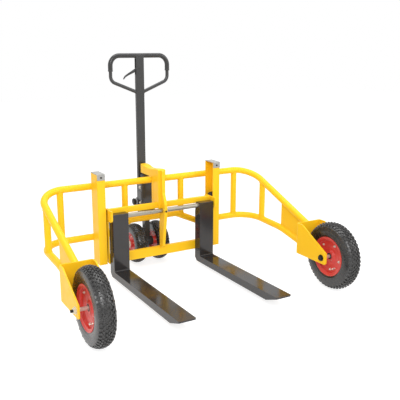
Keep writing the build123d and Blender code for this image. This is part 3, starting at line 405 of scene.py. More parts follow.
def make_tyre(wheel, tread):
    """A knobby tyre: a casing turned about its axle, rows of blocks and shoulder lugs."""
    node = wheel + "_tyre"
    drop, knob, count = tread["drop"], tread["knob"], tread["count"]
    long_half, wide_half = tread["long_half"], tread["wide_half"]
    low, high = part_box(node)
    centre = (low + high) / 2
    radius = (high.z - low.z) / 2
    half = (high.x - low.x) / 2
    rim_low, rim_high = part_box(wheel + "_rim")
    flange = (rim_high.z - rim_low.z) / 2
    rim_half = (rim_high.x - rim_low.x) / 2
    tread_half = tread["width"] / 2
    crown = (tread_half ** 2 + drop ** 2) / (2 * drop)
    spread = math.asin(tread_half / crown)
    bm = bmesh.new()

    def on_crown(angle, lift):
        """A point of the section at an angle from the middle, lifted off the casing."""
        reach = crown - knob + lift
        return (reach * math.sin(angle), radius - crown + reach * math.cos(angle))

    # Casing, with a raised ring on each sidewall near the bead
    seat = flange - 14 * MM
    side_low = (rim_half - 1.5 * MM, flange + 3 * MM)
    side_high = (tread_half + 3.5 * MM, radius - drop - 9 * MM)
    wall = arc(side_low, (half - SIDE_RIB, (side_low[1] + side_high[1]) / 2), side_high, 18)
    for index in (2, 3):
        wall[index] = (wall[index][0] + SIDE_RIB, wall[index][1])
    right = [(rim_half - 9 * MM, seat), (rim_half - 4.2 * MM, flange - 2 * MM)] + wall
    top = [on_crown(spread * (1 - 2 * i / 16), 0.0) for i in range(17)]
    section = right + top + [(-x, r) for x, r in reversed(right)]
    lathe_x(bm, centre, section, 120)

    def place(x, r, angle):
        """A point of the section, turned about the axle."""
        return centre + Vector((x, r * math.cos(angle), r * math.sin(angle)))

    # Blocks in staggered rows over the crown
    pitch = TAU / count
    for row, (offset, yaw) in enumerate(zip(tread["offsets"], ROW_YAWS)):
        for i in range(count):
            turn = pitch * (i + 0.5 * (row % 2))
            rings = []
            for lift, share in ((BLOCK_ROOT, 1.16), (0.66 * knob, 1.0), (0.9 * knob, 0.86), (knob, 0.62)):
                ring = []
                for u, v in ((-1, -1), (1, -1), (1, 1), (-1, 1)):
                    du, dv = u * long_half * share, v * wide_half * share
                    along = du * math.cos(yaw) - dv * math.sin(yaw)
                    across = offset + du * math.sin(yaw) + dv * math.cos(yaw)
                    x, r = on_crown(across / crown, lift)
                    ring.append(place(x, r, turn + along / radius))
                rings.append(ring)
            skin(bm, rings)

    # Shoulder lugs, long and short in turn, from the edge of the crown down the sidewall
    inner = on_crown(0.74 * spread, knob)
    sunk = on_crown(0.70 * spread, BLOCK_ROOT)
    for side in (-1, 1):
        for i in range(count):
            reach = LONG_LUG if i % 2 else SHORT_LUG
            corner = (tread_half - 0.6 * MM, radius - drop + 0.4 * MM)
            foot_r = radius - drop - reach
            share = (foot_r - side_low[1]) / (side_high[1] - side_low[1])
            foot = (min(side_high[0] + 2.2 * MM * (1.6 - share), half), foot_r)
            root = (foot[0] - 7 * MM, foot_r - 1.5 * MM)
            outline = [inner, corner, foot, root, sunk]
            turn = pitch * (i + 0.5)
            rings = []
            for along, share in ((-1.0, 0.0), (-0.72, 1.0), (0.72, 1.0), (1.0, 0.0)):
                sink = 1.0 * MM * (1 - share)
                ring = [(x - sink, r - sink) if k < 3 else (x, r) for k, (x, r) in enumerate(outline)]
                angle = turn + along * 0.25 * pitch
                rings.append([place(side * x, r, angle) for x, r in ring])
            skin(bm, rings)
    add_piece(node + "_tread", bm, "tyre_rubber", wheel + "_wheel", [node], sharp_degrees=30.0)


for name in SIDES:
    for kind, tread in TREADS.items():
        make_tyre(name + "_" + kind, tread)


# Rims, rim bolts and valves

RIM_LIP = 2.6 * MM
BARREL_WALL = 4 * MM
# The disc's raised ring, where the bolts sit, starts at this share of the way from hub to barrel and ends
# this far from the barrel
RING_START = 0.62
RING_EDGE = 6 * MM
VALVE_TURN = math.radians(234)
# Profiles in millimetres: how far each point stands out of the disc or the hub's end, and its radius
VALVE_FOOT = [(-1, 6.5), (2, 6.2), (5, 4.6), (10, 4.2)]
VALVE_CAP = [(9, 3.4), (12, 3.4), (12.2, 4.3), (18, 4.2), (19, 3.4)]
HUB_SEAL = [(-0.5, 11.6), (0.9, 11.6), (1.4, 12.4), (1.0, 15.0), (1.4, 17.6), (0.6, 18.8), (-0.5, 18.8)]
HUB_COLLAR = [(-0.5, 18.9), (1.0, 19.1), (1.6, 20.2), (1.6, 28.0), (0.9, 29.4), (-0.5, 29.4)]
FRONT_BOLT = {"radius": 6.2 * MM, "height": 6 * MM, "stud": [(5.5, 3.2), (8.2, 3.2), (9.0, 2.5)]}
STEER_BOLT = {"radius": 5.2 * MM, "height": 4.5 * MM, "stud": [(4, 2.8), (6.4, 2.8), (7, 2.2)]}
STEER_BOLTS = 5
STEER_BOLT_TURN = 0.3
STEER_BORE = 10.1 * MM
STEER_COLLAR = 22 * MM


def rim_bolt(bm, start, side, sizes, turn):
    """A hex nut with the end of its stud, on a rim's disc."""
    hex_head(bm, start, (side, 0, 0), sizes["radius"], sizes["height"], turn)
    turned(bm, start, (side, 0, 0), in_metres(sizes["stud"]), 12)


def rim_section(half, flange, seat, disc, bore, hub_end, waist):
    """Closed section of a pressed rim: rolled flanges, a barrel, stepped discs and a hub collar."""
    inside = seat - BARREL_WALL
    rolled = [(half - RIM_LIP + RIM_LIP * math.cos(a), flange - RIM_LIP + RIM_LIP * math.sin(a))
              for a in [math.radians(d) for d in (-60, -20, 20, 55, 90, 125)]]
    ring_low = bore + RING_START * (inside - bore)
    step_low = bore + 0.42 * (inside - bore)
    outer = [(hub_end, bore), (hub_end, bore + 1.5 * MM), (hub_end - 2 * MM, bore + 3 * MM),
             (disc, bore + 5 * MM), (disc - waist, bore + 9 * MM), (disc - waist, step_low),
             (disc - 0.6 * waist, step_low + 3 * MM), (disc, ring_low), (disc, inside - RING_EDGE),
             (disc + 1.2 * MM, inside - 2.4 * MM), (disc + 4 * MM, inside), (half - 12 * MM, inside),
             (half - 7.5 * MM, inside + 3 * MM), (half - 4.6 * MM, flange - 9 * MM)] + rolled
    back = [(half - 6.0 * MM, flange - 6 * MM), (half - 7.5 * MM, seat + 3 * MM), (half - 10 * MM, seat)]
    right = outer + back
    return right + [(-x, r) for x, r in reversed(right)]


def make_front_rim(name, body):
    """Front rim with bolts through both discs, a valve, bearing seals and hub collars."""
    node = name + "_front_rim"
    low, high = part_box(node)
    centre = (low + high) / 2
    half = (high.x - low.x) / 2
    flange = (high.z - low.z) / 2
    hub_low, hub_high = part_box(name + "_front_hub")
    bore = (hub_high.z - hub_low.z) / 2
    seat = flange - 18 * MM
    bolts = islands(name + "_rim_bolts")
    disc = (bolts[0][1].x - bolts[0][0].x) / 2 - FRONT_BOLT["height"]
    bm = bmesh.new()
    lathe_x(bm, centre, rim_section(half, flange, seat, disc, bore, disc + 2 * MM, 3.5 * MM), 96)
    add_piece(node + "_pressing", bm, "red_paint", body, [node])
    bm = bmesh.new()
    stem = bmesh.new()
    for index, (bolt_low, bolt_high) in enumerate(bolts):
        place = (bolt_low + bolt_high) / 2
        for side in (-1, 1):
            start = Vector((centre.x + side * disc, place.y, place.z))
            rim_bolt(bm, start, side, FRONT_BOLT, 0.4 + index)
    spoke = (bolts[0][0] + bolts[0][1]) / 2 - centre
    reach = math.hypot(spoke.y, spoke.z)
    root = centre + Vector((-disc, reach * math.cos(VALVE_TURN), reach * math.sin(VALVE_TURN)))
    turned(stem, root, (-1, 0, 0), in_metres(VALVE_FOOT), 16)
    turned(bm, root, (-1, 0, 0), in_metres(VALVE_CAP), 12)
    add_piece(name + "_rim_bolt_set", bm, "zinc", body, [name + "_rim_bolts"])
    add_piece(name + "_valve_stem", stem, "zinc", body)
    hub_end = (hub_high.x - hub_low.x) / 2
    for label, section, slot in (("seals", HUB_SEAL, "black_oxide"), ("collars", HUB_COLLAR, "red_paint")):
        bm = bmesh.new()
        for side in (-1, 1):
            lathe_x(bm, centre, [(side * (hub_end + out), r) for out, r in in_metres(section)], 48)
        add_piece(name + "_hub_" + label, bm, slot, body)


def make_steer_rim(name, body):
    """Steer wheel rim with small hex bolts round the hub."""
    node = name + "_steer_rim"
    low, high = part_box(node)
    centre = (low + high) / 2
    half = (high.x - low.x) / 2
    tyre_low, tyre_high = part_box(name + "_steer_tyre")
    rim_half = (tyre_high.x - tyre_low.x) / 2 - 3 * MM
    flange = (high.z - low.z) / 2
    seat = flange - 15 * MM
    disc = rim_half - 14 * MM
    section = rim_section(rim_half, flange, seat, disc, STEER_COLLAR, half, 2.0 * MM)
    bm = bmesh.new()
    lathe_x(bm, centre, [(half, STEER_BORE)] + section + [(-half, STEER_BORE)], 72)
    add_piece(node + "_pressing", bm, "red_paint", body, [node])
    bm = bmesh.new()
    inside = seat - BARREL_WALL
    ring = (STEER_COLLAR + RING_START * (inside - STEER_COLLAR) + inside - RING_EDGE) / 2
    for index in range(STEER_BOLTS):
        angle = TAU * index / STEER_BOLTS + STEER_BOLT_TURN
        for side in (-1, 1):
            start = centre + Vector((side * disc, ring * math.cos(angle), ring * math.sin(angle)))
            rim_bolt(bm, start, side, STEER_BOLT, index)
    add_piece(name + "_steer_rim_bolts", bm, "zinc", body)


for name in SIDES:
    make_front_rim(name, name + "_front_wheel")
    make_steer_rim(name, name + "_steer_wheel")


# Sizes shared by the welded frame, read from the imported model

top_low, top_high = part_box("centre_top_rail")
arch_low, arch_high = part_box("centre_lower_rail")
rail_radius = (top_high.z - top_low.z) / 2
rail_y = (top_low.y + top_high.y) / 2
top_z = (top_low.z + top_high.z) / 2
arch_foot = arch_low.z + rail_radius
arch_crown = arch_high.z - rail_radius
arch_run = 165 * MM
arch_reach = 330 * MM
arch_slope = (arch_crown - arch_foot) / arch_run
wheel_x = middle("right_front_tyre").x
bracket_low, bracket_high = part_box("right_wheel_bracket")
bracket_rear = bracket_high.y
mast_low, mast_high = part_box("right_mast")
top_inset = 25 * MM
low_inset = 24 * MM
top_end = bracket_high.z - top_inset
low_end = bracket_low.z + low_inset
knee_run = 378 * MM
knee_drop = 15 * MM
knee_fall = knee_drop / knee_run
top_fall = (top_z - top_end) / (rail_y - bracket_rear)
low_fall = (arch_foot - knee_fall * knee_run - low_end) / (rail_y - knee_run - bracket_rear)


# Welds

# A bead round a pipe lies on a ring a little larger than the pipe
BEAD_RING = 1.03
MAST_BEAD_LIFT = 11 * MM
PUMP_ARM_HALF = 40 * MM
PUMP_ARM_DEPTH = 28 * MM
LOOP_RISE = 76 / 186.75
LOOP_FOOT_DROP = 235 * MM
HEEL_TOP = 66 * MM
HEEL_DEPTH = 64 * MM


def saddle(bm, centre, along, slope, side, radius):
    """A bead where an upright pipe meets a rail, above it (1) or below it (-1)."""
    across = Vector((-along.y, along.x, 0))
    path = []
    for i in range(40):
        angle = TAU * i / 40
        run = radius * math.cos(angle)
        offset = radius * math.sin(angle)
        depth = math.sqrt(rail_radius ** 2 - offset ** 2)
        rise = slope * run + side * depth * math.sqrt(1 + slope * slope)
        path.append(centre + BEAD_RING * (along * run + across * offset) + Vector((0, 0, rise)))
    weld(bm, path, PIPE_BEAD, closed=True)


def ring_weld(bm, centre, first, second, radius=PIPE_BEAD):
    """A bead round an ellipse with two half axes."""
    path = [centre + first * math.cos(TAU * i / 40) + second * math.sin(TAU * i / 40) for i in range(40)]
    weld(bm, path, radius, closed=True)


def make_frame_welds():
    """Beads on the pipe frame: balusters, masts, wheel brackets, web plates and the pump bracket."""
    bm = bmesh.new()
    for low, high in islands("rail_balusters"):
        centre = (low + high) / 2
        radius = (high.x - low.x) / 2
        ahead = rail_y - centre.y
        beside_wheel = ahead > rail_radius
        along = Vector((0, 1, 0)) if beside_wheel else Vector((1, 0, 0))
        top_slope = top_fall if beside_wheel else 0.0
        low_slope = knee_fall if beside_wheel else 0.0
        foot = arch_foot - low_slope * ahead
        if abs(centre.x) < mast_low.x:
            low_slope = -math.copysign(arch_slope, centre.x)
            foot = arch_foot + arch_slope * (arch_reach - abs(centre.x))
        saddle(bm, Vector((centre.x, centre.y, top_z - top_slope * ahead)), along, top_slope, -1, radius)
        saddle(bm, Vector((centre.x, centre.y, foot)), along, low_slope, 1, radius)
    for sign in SIDES.values():
        for height in (top_z, arch_foot):
            for lift in (-1, 1):
                y = mast_high.y + 2.2 * MM
                z = height + lift * MAST_BEAD_LIFT
                ends = [(sign * x, y, z) for x in (mast_low.x + 1 * MM, mast_high.x - 1 * MM)]
                weld(bm, ends, HEAVY_BEAD)
        for end, fall in ((top_end, top_fall), (low_end, low_fall)):
            centre = Vector((sign * wheel_x, bracket_rear + 1 * MM, end))
            ring_weld(bm, centre, Vector((rail_radius * BEAD_RING, 0, 0)),
                      Vector((0, 0, rail_radius * BEAD_RING * math.sqrt(1 + fall * fall))))
        web_low, web_high = islands("web_plates")[0 if sign < 0 else 1]
        top_under = rail_radius * math.sqrt(1 + top_fall * top_fall)
        low_over = rail_radius * math.sqrt(1 + low_fall * low_fall)
        for face in (web_low.x - 1 * MM, web_high.x + 1 * MM):
            upper = [(face, y, top_end + top_fall * (y - bracket_rear) - top_under)
                     for y in (bracket_rear, web_high.y)]
            lower = [(face, y, low_end + low_fall * (y - bracket_rear) + low_over)
                     for y in (bracket_rear, web_high.y)]
            weld(bm, upper)
            weld(bm, lower)
            y = bracket_rear + 1 * MM
            weld(bm, [(face, y, lower[0][2]), (face, y, upper[0][2])])
    arm_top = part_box("pump_bracket")[1].z
    for z in (arm_top, arm_top - PUMP_ARM_DEPTH):
        y = rail_y + math.sqrt(rail_radius ** 2 - (z - arch_crown) ** 2) + 1 * MM
        weld(bm, [(-PUMP_ARM_HALF, y, z), (PUMP_ARM_HALF, y, z)], HEAVY_BEAD)
    add_piece("frame_welds", bm, "yellow_paint", "frame", sharp_degrees=60.0)


def make_carriage_welds():
    """Beads on the carriage: bars to side plates and post, fin to post and lower bar."""
    bm = bmesh.new()
    bars = islands("upper_bars")
    upper_low, upper_high = bars[0]
    post_low, post_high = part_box("centre_post")
    fin_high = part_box("centre_fin")[1]
    bar_low, bar_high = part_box("lower_bar")
    for low, high in bars + [(bar_low, bar_high)]:
        for x, inward in ((low.x, 1), (high.x, -1)):
            if low.x < 0 < high.x or abs(x) > 0.1:
                edge = x + inward * 1 * MM
                for y in (low.y - 0.5 * MM, high.y + 0.5 * MM):
                    weld(bm, [(edge, y, low.z + 2 * MM), (edge, y, high.z - 2 * MM)])
                weld(bm, [(edge, low.y, high.z + 0.5 * MM), (edge, high.y, high.z + 0.5 * MM)])
    for sign in SIDES.values():
        x = sign * (fin_high.x + 0.6 * MM)
        weld(bm, [(x, post_low.y, post_low.z + 4 * MM), (x, post_low.y, fin_high.z - 2 * MM)])
        weld(bm, [(x, bar_low.y - 1 * MM, bar_high.z - 6 * MM), (x, bar_low.y, bar_high.z + 1 * MM)])
        face = sign * (post_high.x + 0.6 * MM)
        foot, crest = upper_low.z + 2 * MM, upper_high.z + 0.6 * MM
        weld(bm, [(face, upper_low.y, foot), (face, upper_low.y, crest),
                  (face, upper_high.y, crest), (face, upper_high.y, foot)])
    add_piece("carriage_welds", bm, "yellow_paint", "carriage", sharp_degrees=60.0)


def make_handle_welds():
    """Beads round the feet of the handle's loop."""
    shaft_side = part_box("handle_shaft")[1].x
    loop_low, loop_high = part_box("handle_loop")
    tube_radius = (loop_high.y - loop_low.y) / 2
    ring = 1.05 * tube_radius
    foot = loop_high.z - tube_radius - LOOP_FOOT_DROP + LOOP_RISE * shaft_side / 2
    bm = bmesh.new()
    for sign in SIDES.values():
        centre = Vector((sign * (shaft_side + 0.8 * MM), (loop_low.y + loop_high.y) / 2, foot))
        ring_weld(bm, centre, Vector((0, ring, 0)),
                  Vector((0, 0, ring * math.sqrt(1 + LOOP_RISE * LOOP_RISE))), SMALL_BEAD)
    add_piece("loop_welds", bm, "charcoal_paint", "handle", sharp_degrees=60.0)


def make_fork_welds():
    """Beads across the inside heel of each fork."""
    for name in SIDES:
        low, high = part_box(name + "_fork")
        y = high.y - HEEL_DEPTH - 3 * MM
        z = HEEL_TOP + 3 * MM
        bm = bmesh.new()
        weld(bm, [(low.x + 3 * MM, y, z), (high.x - 3 * MM, y, z)], HEEL_BEAD)
        add_piece(name + "_heel_weld", bm, "black_gloss", name + "_fork", sharp_degrees=60.0)


make_frame_welds()
make_carriage_welds()
make_handle_welds()
make_fork_welds()


# Bolts, screws and nuts

THREAD_PITCH = 2.0 * MM
# Share of a packed bolt head's half width that the hexagon fills
HEX_SHARE = 0.97
FRONT_AXLE = {"radius": 8 * MM, "head": 13 * MM, "thread": 11 * MM}
STEER_AXLE = {"radius": 10 * MM, "head": 9 * MM, "thread": 8 * MM}
CAP_SCREW_SHANK = 3 * MM
SET_SCREW = (6.5 * MM, 3.5 * MM)


def threaded_end(bm, origin, axis, start, end, radius):
    """A bolt's threaded end, with a chamfered tip."""
    pitch = THREAD_PITCH
    profile = [(start, radius)]
    height = start
    while height + pitch < end - pitch:
        profile += [(height + 0.5 * pitch, 0.90 * radius), (height + pitch, radius)]
        height += pitch
    profile += [(end - 0.5 * pitch, radius), (end, 0.8 * radius)]
    turned(bm, origin, axis, profile, 20)


def make_axle_bolts():
    """Front axle bolts: a hex head inside each bracket, a nut and thread end outside."""
    low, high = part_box("front_axles")
    centre = middle("right_front_tyre")
    hex_radius = (high.y - low.y) / 2 * HEX_SHARE
    axle_radius, head = FRONT_AXLE["radius"], FRONT_AXLE["head"]
    bm = bmesh.new()
    nuts = bmesh.new()
    for sign in SIDES.values():
        place = Vector((0, centre.y, centre.z))
        inner = place + Vector((sign * bracket_low.x, 0, 0))
        outer = place + Vector((sign * bracket_high.x, 0, 0))
        hex_head(bm, inner, (-sign, 0, 0), hex_radius, head, 0.3)
        hex_head(nuts, outer, (sign, 0, 0), hex_radius, head, 0.1)
        threaded_end(bm, outer, (sign, 0, 0), FRONT_AXLE["thread"], high.x - bracket_high.x, axle_radius)
        turned(bm, inner, (sign, 0, 0), [(0, axle_radius), (bracket_high.x - bracket_low.x, axle_radius)])
    add_piece("front_axle_bolts", bm, "black_oxide", "frame", ["front_axles"])
    add_piece("front_axle_nuts", nuts, "zinc", "frame")


def make_steer_axle():
    """Steer axle with washers, nuts and thread ends."""
    low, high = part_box("steer_axle")
    centre = middle("steer_axle")
    nut_radius = (high.y - low.y) / 2 * HEX_SHARE
    axle_radius = STEER_AXLE["radius"]
    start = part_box("right_steer_rim")[1].x + 0.5 * MM
    bm = bmesh.new()
    turned(bm, (-start, centre.y, centre.z), (1, 0, 0), [(0, axle_radius), (2 * start, axle_radius)])
    for sign in SIDES.values():
        face = Vector((sign * start, centre.y, centre.z))
        hex_head(bm, face, (sign, 0, 0), nut_radius, STEER_AXLE["head"], 0.2)
        threaded_end(bm, face, (sign, 0, 0), STEER_AXLE["thread"], high.x - start, axle_radius)
    add_piece("steer_axle_bolt", bm, "zinc", "steer_unit", ["steer_axle"])


def socket_screw(bm, origin, axis, radius, height):
    """A cap screw head with rounded rim and an open hex socket."""
    axis = Vector(axis).normalized()
    across = axis.orthogonal().normalized()
    beside = axis.cross(across)
    half_flat = math.pi / 6
    sides = 24

    def ring(level, size, hexagon):
        """A ring of points at a level of the head, round or on a hexagon."""
        points = []
        for i in range(sides):
            angle = TAU * i / sides
            reach = size * radius
            if hexagon:
                reach *= math.cos(half_flat) / math.cos(angle % (2 * half_flat) - half_flat)
            spoke = across * math.cos(angle) + beside * math.sin(angle)
            points.append(Vector(origin) + axis * level * height + spoke * reach)
        return points

    outside = [ring(level, size, False) for level, size in ((0, 1), (0.75, 1), (0.93, 0.94), (1, 0.84))]
    socket = [ring(level, size, True) for level, size in ((1, 0.55), (0.96, 0.5), (0.4, 0.5))]
    skin(bm, outside + socket)


def make_screws():
    """Cap screws on the masts and the set screw that holds the fork shaft in the fin."""
    bm = bmesh.new()
    tab_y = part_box("mast_caps")[0].y
    for low, high in islands("cap_screws"):
        seat = ((low.x + high.x) / 2, tab_y, (low.z + high.z) / 2)
        socket_screw(bm, seat, (0, -1, 0), (high.x - low.x) / 2, tab_y - low.y)
        turned(bm, seat, (0, 1, 0), [(0, CAP_SCREW_SHANK), (high.y - tab_y, CAP_SCREW_SHANK)], 12)
    add_piece("mast_cap_screws", bm, "black_oxide", "frame", ["cap_screws"])
    bm = bmesh.new()
    seat = (0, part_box("centre_fin")[0].y, middle("fork_shaft").z)
    socket_screw(bm, seat, (0, -1, 0), *SET_SCREW)
    add_piece("shaft_set_screw", bm, "black_oxide", "carriage")


make_axle_bolts()
make_steer_axle()
make_screws()


# Handle

# Middle line of the lever's finger from its pin, in millimetres along X and Z, up to its tip
LEVER_LINE = [(4, 1), (-16, -6), (-46, -21), (-76, -36), (-95, -49)]
# Half height in millimetres and share of the full thickness at each point of that line and at the tip
LEVER_HALVES = [(13, 1.0), (11.5, 1.0), (8.6, 1.0), (6.6, 0.95), (5.2, 0.85), (3.0, 0.6)]
LEVER_STEPS = 6
LEVER_SIDES = 16
LEVER_BOSS = 13 * MM
LEVER_TAIL = 4 * MM
LEVER_CHAMFER = 1 * MM
GRIP_BEND = 62 * MM
# Along a grip's straight end: share of the way down, and its radius there against the grip's
GRIP_TAIL = [(0.45, 1.0), (0.72, 1.0), (0.76, 0.965), (0.80, 1.05), (0.94, 1.05), (0.97, 1.0), (1.0, 0.86)]


def smooth_path(points, steps):
    """A curve through points, as a list of places."""
    points = [Vector(point) for point in points]
    ends = [2 * points[0] - points[1]] + points + [2 * points[-1] - points[-2]]
    places = []
    for i in range(1, len(ends) - 2):
        before, start, end, after = ends[i - 1:i + 3]
        for k in range(steps):
            t = k / steps
            places.append(0.5 * (2 * start + (end - before) * t
                                 + (2 * before - 5 * start + 4 * end - after) * t * t
                                 + (3 * start - before - 3 * end + after) * t ** 3))
    places.append(points[-1])
    return places


def make_lever():
    """Control lever: a curved, tapering finger with a boss on the pin and a tail to the rod."""
    low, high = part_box("control_lever")
    pin = middle("lever_pin")
    thick = (high.y - low.y) / 2
    centres = [(pin.x + dx * MM, 0, pin.z + dz * MM) for dx, dz in LEVER_LINE]
    centres.append((low.x + 2.5 * MM, 0, low.z + 3 * MM))
    places = smooth_path(centres, LEVER_STEPS)
    sizes = smooth_path([(half * MM, share * thick, 0) for half, share in LEVER_HALVES], LEVER_STEPS)
    bm = bmesh.new()
    rings = []
    for i, place in enumerate(places):
        along = (places[min(i + 1, len(places) - 1)] - places[max(i - 1, 0)]).normalized()
        up = Vector((-along.z, 0, along.x))
        ring = []
        for k in range(LEVER_SIDES):
            angle = TAU * k / LEVER_SIDES
            c, s = math.cos(angle), math.sin(angle)
            square = max(abs(c), abs(s)) ** 0.5
            ring.append(place + Vector((0, pin.y, 0)) + up * sizes[i].x * c / square
                        + Vector((0, sizes[i].y * s / square, 0)))
        rings.append(ring)
    skin(bm, rings)
    chamfer = LEVER_CHAMFER
    rim = LEVER_BOSS - chamfer
    boss = [(0, rim), (chamfer, LEVER_BOSS), (2 * thick - chamfer, LEVER_BOSS), (2 * thick, rim)]
    turned(bm, (pin.x, low.y, pin.z), (0, 1, 0), boss, 28)
    edge = LEVER_TAIL - chamfer
    tail = [(pin.x, pin.z - LEVER_TAIL), (high.x - chamfer, pin.z - LEVER_TAIL), (high.x, pin.z - edge),
            (high.x, pin.z + edge), (high.x - chamfer, pin.z + LEVER_TAIL), (pin.x, pin.z + LEVER_TAIL)]
    skin(bm, [[(x, y, z) for x, z in tail] for y in (low.y + chamfer, high.y - chamfer)])
    add_piece("control_lever_finger", bm, "charcoal_paint", "lever", ["control_lever"], sharp_degrees=50.0)


def make_grips():
    """Rubber sleeves over the top of the loop, with a rolled collar at each lower end."""
    low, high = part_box("handle_grips")
    shaft_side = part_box("handle_shaft")[1].x
    radius = (high.y - low.y) / 2
    y = (low.y + high.y) / 2
    x_end = high.x - radius
    z_top = high.z - radius
    x_bend = x_end - GRIP_BEND
    z_bend = z_top - GRIP_BEND
    bm = bmesh.new()
    for sign in SIDES.values():
        path = [Vector((sign * (shaft_side + (x_bend - shaft_side) * i / 10), y, z_top)) for i in range(10)]
        for i in range(17):
            angle = math.radians(90 * i / 16)
            path.append(Vector((sign * (x_bend + GRIP_BEND * math.sin(angle)), y,
                                z_bend + GRIP_BEND * math.cos(angle))))
        radii = [radius] * len(path)
        for share, swell in GRIP_TAIL:
            path.append(Vector((sign * x_end, y, z_bend + (low.z - z_bend) * share)))
            radii.append(radius * swell)
        tube(bm, path, radii, sides=24)
    add_piece("handle_grip_sleeves", bm, "grip_rubber", "handle", ["handle_grips"], sharp_degrees=50.0)


make_lever()
make_grips()


# Pump

# How far the casting's neck stands above its deck, its half width, and its front face ahead of the ram
NECK_HEIGHT = 32 * MM
PUMP_HALF = 48 * MM
PUMP_FRONT = 50 * MM
# Profiles in millimetres: height and radius
GLAND_NUT = [(0, 33), (9, 33), (12, 30), (16, 30), (18, 27)]
GLAND_LIP = [(0, 23), (8, 23), (9.5, 21)]
NECK_FOOT = [(0, 38), (4, 38), (7, 33), (12, 30.4)]
PIVOT_CAP = {"radius": 23 * MM, "edge": 10 * MM, "dome": 6.5 * MM, "root": -6 * MM, "step": -2.5 * MM}
# Deck screws: half spacing along X and Y, how far ahead of the ram their middle lies, and their head
DECK_SCREWS = {"x": 36 * MM, "y": 31 * MM, "ahead": 6 * MM, "head": 5 * MM}
# Plugs: side, distance ahead of the ram, depth under the deck, radius and height, in millimetres
PLUGS = [(1, 22, 46, 9, 7), (-1, 22, 46, 9, 7), (-1, 20, 150, 7, 6)]
# Raised pads on the casting's sides, in millimetres: section as outward and rearward, and depths under
# the deck
PAD_SECTION = [(-1, 12), (2, 15), (2, 60), (-1, 63)]
PAD_DEPTHS = (128, 72)


def make_pump_fittings():
    """Gland nut, deck screws, plugs and side pads on the steered pump, and caps on its pivot pin."""
    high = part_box("pump_casting")[1]
    ram_y = middle("lift_ram").y
    pin_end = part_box("handle_pivot_pin")[1].x
    pin = middle("handle_pivot_pin")
    deck = high.z - NECK_HEIGHT
    front = ram_y - PUMP_FRONT
    bm = bmesh.new()
    for profile, z, sides in ((GLAND_NUT, high.z - 12 * MM, 6), (GLAND_LIP, high.z, 32),
                              (NECK_FOOT, deck - 2 * MM, 40)):
        turned(bm, (0, ram_y, z), (0, 0, 1), in_metres(profile), sides)
    add_piece("pump_gland", bm, "charcoal_paint", "steer_unit")
    bm = bmesh.new()
    for x in (-1, 1):
        for y in (-1, 1):
            place = (x * DECK_SCREWS["x"], ram_y - DECK_SCREWS["ahead"] + y * DECK_SCREWS["y"], deck)
            socket_screw(bm, place, (0, 0, 1), DECK_SCREWS["head"], DECK_SCREWS["head"])
    for side, ahead, depth, radius, height in PLUGS:
        place = (side * PUMP_HALF, ram_y - ahead * MM, deck - depth * MM)
        hex_head(bm, place, (side, 0, 0), radius * MM, height * MM)
    add_piece("pump_fittings", bm, "zinc", "steer_unit")
    bm = bmesh.new()
    radius, edge, step = PIVOT_CAP["radius"], PIVOT_CAP["edge"], PIVOT_CAP["step"]
    profile = [(PIVOT_CAP["root"], radius), (step, radius)]
    for angle in [math.radians(d) for d in (20, 40, 60, 80, 90)]:
        profile.append((PIVOT_CAP["dome"] * math.sin(angle) + step, radius - edge + edge * math.cos(angle)))
    for sign in SIDES.values():
        turned(bm, (sign * pin_end, pin.y, pin.z), (sign, 0, 0), profile, 36)
    add_piece("pivot_caps", bm, "black_oxide", "steer_unit", sharp_degrees=50.0)
    bm = bmesh.new()
    for sign in SIDES.values():
        section = [(sign * (PUMP_HALF + out * MM), front + back * MM) for out, back in PAD_SECTION]
        skin(bm, [[(x, y, deck - depth * MM) for x, y in section] for depth in PAD_DEPTHS])
    add_piece("pump_side_pads", bm, "charcoal_paint", "steer_unit", sharp_degrees=30.0)


make_pump_fittings()


# Stage, light and camera

AMBIENT = 0.68
FLOOR_HALF = 14.0
FLOOR_BOUNCE = 0.86
FLOOR_SHADE = 0.40
FLOOR_GLOW = 0.80
# Lamps: name, place, target, width and power
LAMPS = [
    ("key", (-2.6, -3.8, 3.4), (0, 0, 0.4), 2.6, 125),
    ("fill", (3.6, -2.8, 2.6), (0, 0, 0.4), 3.0, 70),
    ("top", (0.2, 0.4, 4.4), (0, 0, 0.3), 3.2, 90),
]
CAMERA_PLACE = (-1.68725, -3.04345, 1.40293)
# Turns about Z, X and the line of sight, in degrees
CAMERA_TURNS = (-28.93, 76.25, -0.20)
CAMERA_LENS = 54.5
CAMERA_SENSOR = 36.0
CAMERA_SHIFT = (0.0413, -0.006)


def grey(value):
    """A linear grey."""
    return (value, value, value, 1)


def seen_share(tree):
    """1 for camera, glossy and transmission rays, otherwise 0."""
    path = tree.nodes.new("ShaderNodeLightPath")
    total = path.outputs["Is Camera Ray"]
    for name in ("Is Glossy Ray", "Is Transmission Ray"):
        node = tree.nodes.new("ShaderNodeMath")
        node.operation = "MAXIMUM"
        tree.links.new(total, node.inputs[0])
        tree.links.new(path.outputs[name], node.inputs[1])
        total = node.outputs["Value"]
    return total


def make_world():
    """White to the camera and in reflections, a plain soft fill for everything else."""
    world = bpy.data.worlds.new("studio")
    world.use_nodes = True
    scene.world = world
    tree = world.node_tree
    background = tree.nodes["Background"]
    background.inputs["Color"].default_value = grey(1)
    strength = remap(tree, seen_share(tree), 0.0, 1.0, AMBIENT, 1.0)
    tree.links.new(strength, background.inputs["Strength"])


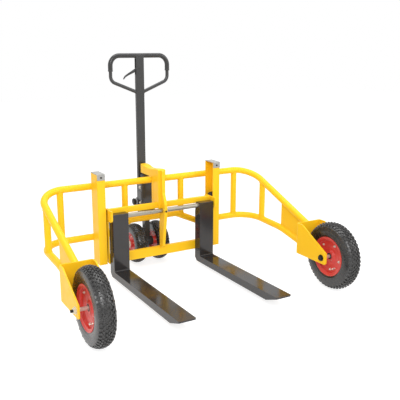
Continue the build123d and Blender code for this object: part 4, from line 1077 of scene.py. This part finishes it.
def make_floor():
    """A pale floor that reads white in the open and keeps a soft shadow."""
    bm = bmesh.new()
    bmesh.ops.create_grid(bm, x_segments=8, y_segments=8, size=FLOOR_HALF)
    mesh = bpy.data.meshes.new("floor")
    bm.to_mesh(mesh)
    bm.free()
    material = bpy.data.materials.new("pale_floor")
    material.use_nodes = True
    tree = material.node_tree
    shader = tree.nodes["Principled BSDF"]
    shader.inputs["Roughness"].default_value = 0.9
    shader.inputs["Specular IOR Level"].default_value = 0.0
    seen = seen_share(tree)
    colour = blend_colour(tree, seen, grey(FLOOR_BOUNCE), grey(FLOOR_SHADE))
    tree.links.new(colour, shader.inputs["Base Color"])
    shader.inputs["Emission Color"].default_value = grey(1)
    glow = remap(tree, seen, 0.0, 1.0, 0.0, FLOOR_GLOW)
    tree.links.new(glow, shader.inputs["Emission Strength"])
    mesh.materials.append(material)
    floor = bpy.data.objects.new("floor", mesh)
    scene.collection.objects.link(floor)


def make_lamp(name, place, target, size, watts):
    """A square soft lamp aimed at a point."""
    lamp = bpy.data.lights.new(name, "AREA")
    lamp.shape = "SQUARE"
    lamp.size = size
    lamp.energy = watts
    holder = bpy.data.objects.new(name, lamp)
    holder.location = place
    holder.rotation_euler = (Vector(target) - Vector(place)).to_track_quat("-Z", "Y").to_euler()
    scene.collection.objects.link(holder)


def make_camera():
    """The photograph's view."""
    camera = bpy.data.cameras.new("camera")
    camera.lens = CAMERA_LENS
    camera.sensor_width = CAMERA_SENSOR
    camera.shift_x, camera.shift_y = CAMERA_SHIFT
    holder = bpy.data.objects.new("camera", camera)
    yaw, pitch, roll = [math.radians(angle) for angle in CAMERA_TURNS]
    turn = Matrix.Rotation(yaw, 4, "Z") @ Matrix.Rotation(pitch, 4, "X") @ Matrix.Rotation(roll, 4, "Z")
    holder.matrix_world = Matrix.Translation(CAMERA_PLACE) @ turn
    scene.collection.objects.link(holder)
    scene.camera = holder


make_world()
make_floor()
for lamp in LAMPS:
    make_lamp(*lamp)
make_camera()
scene.view_settings.view_transform = "Standard"
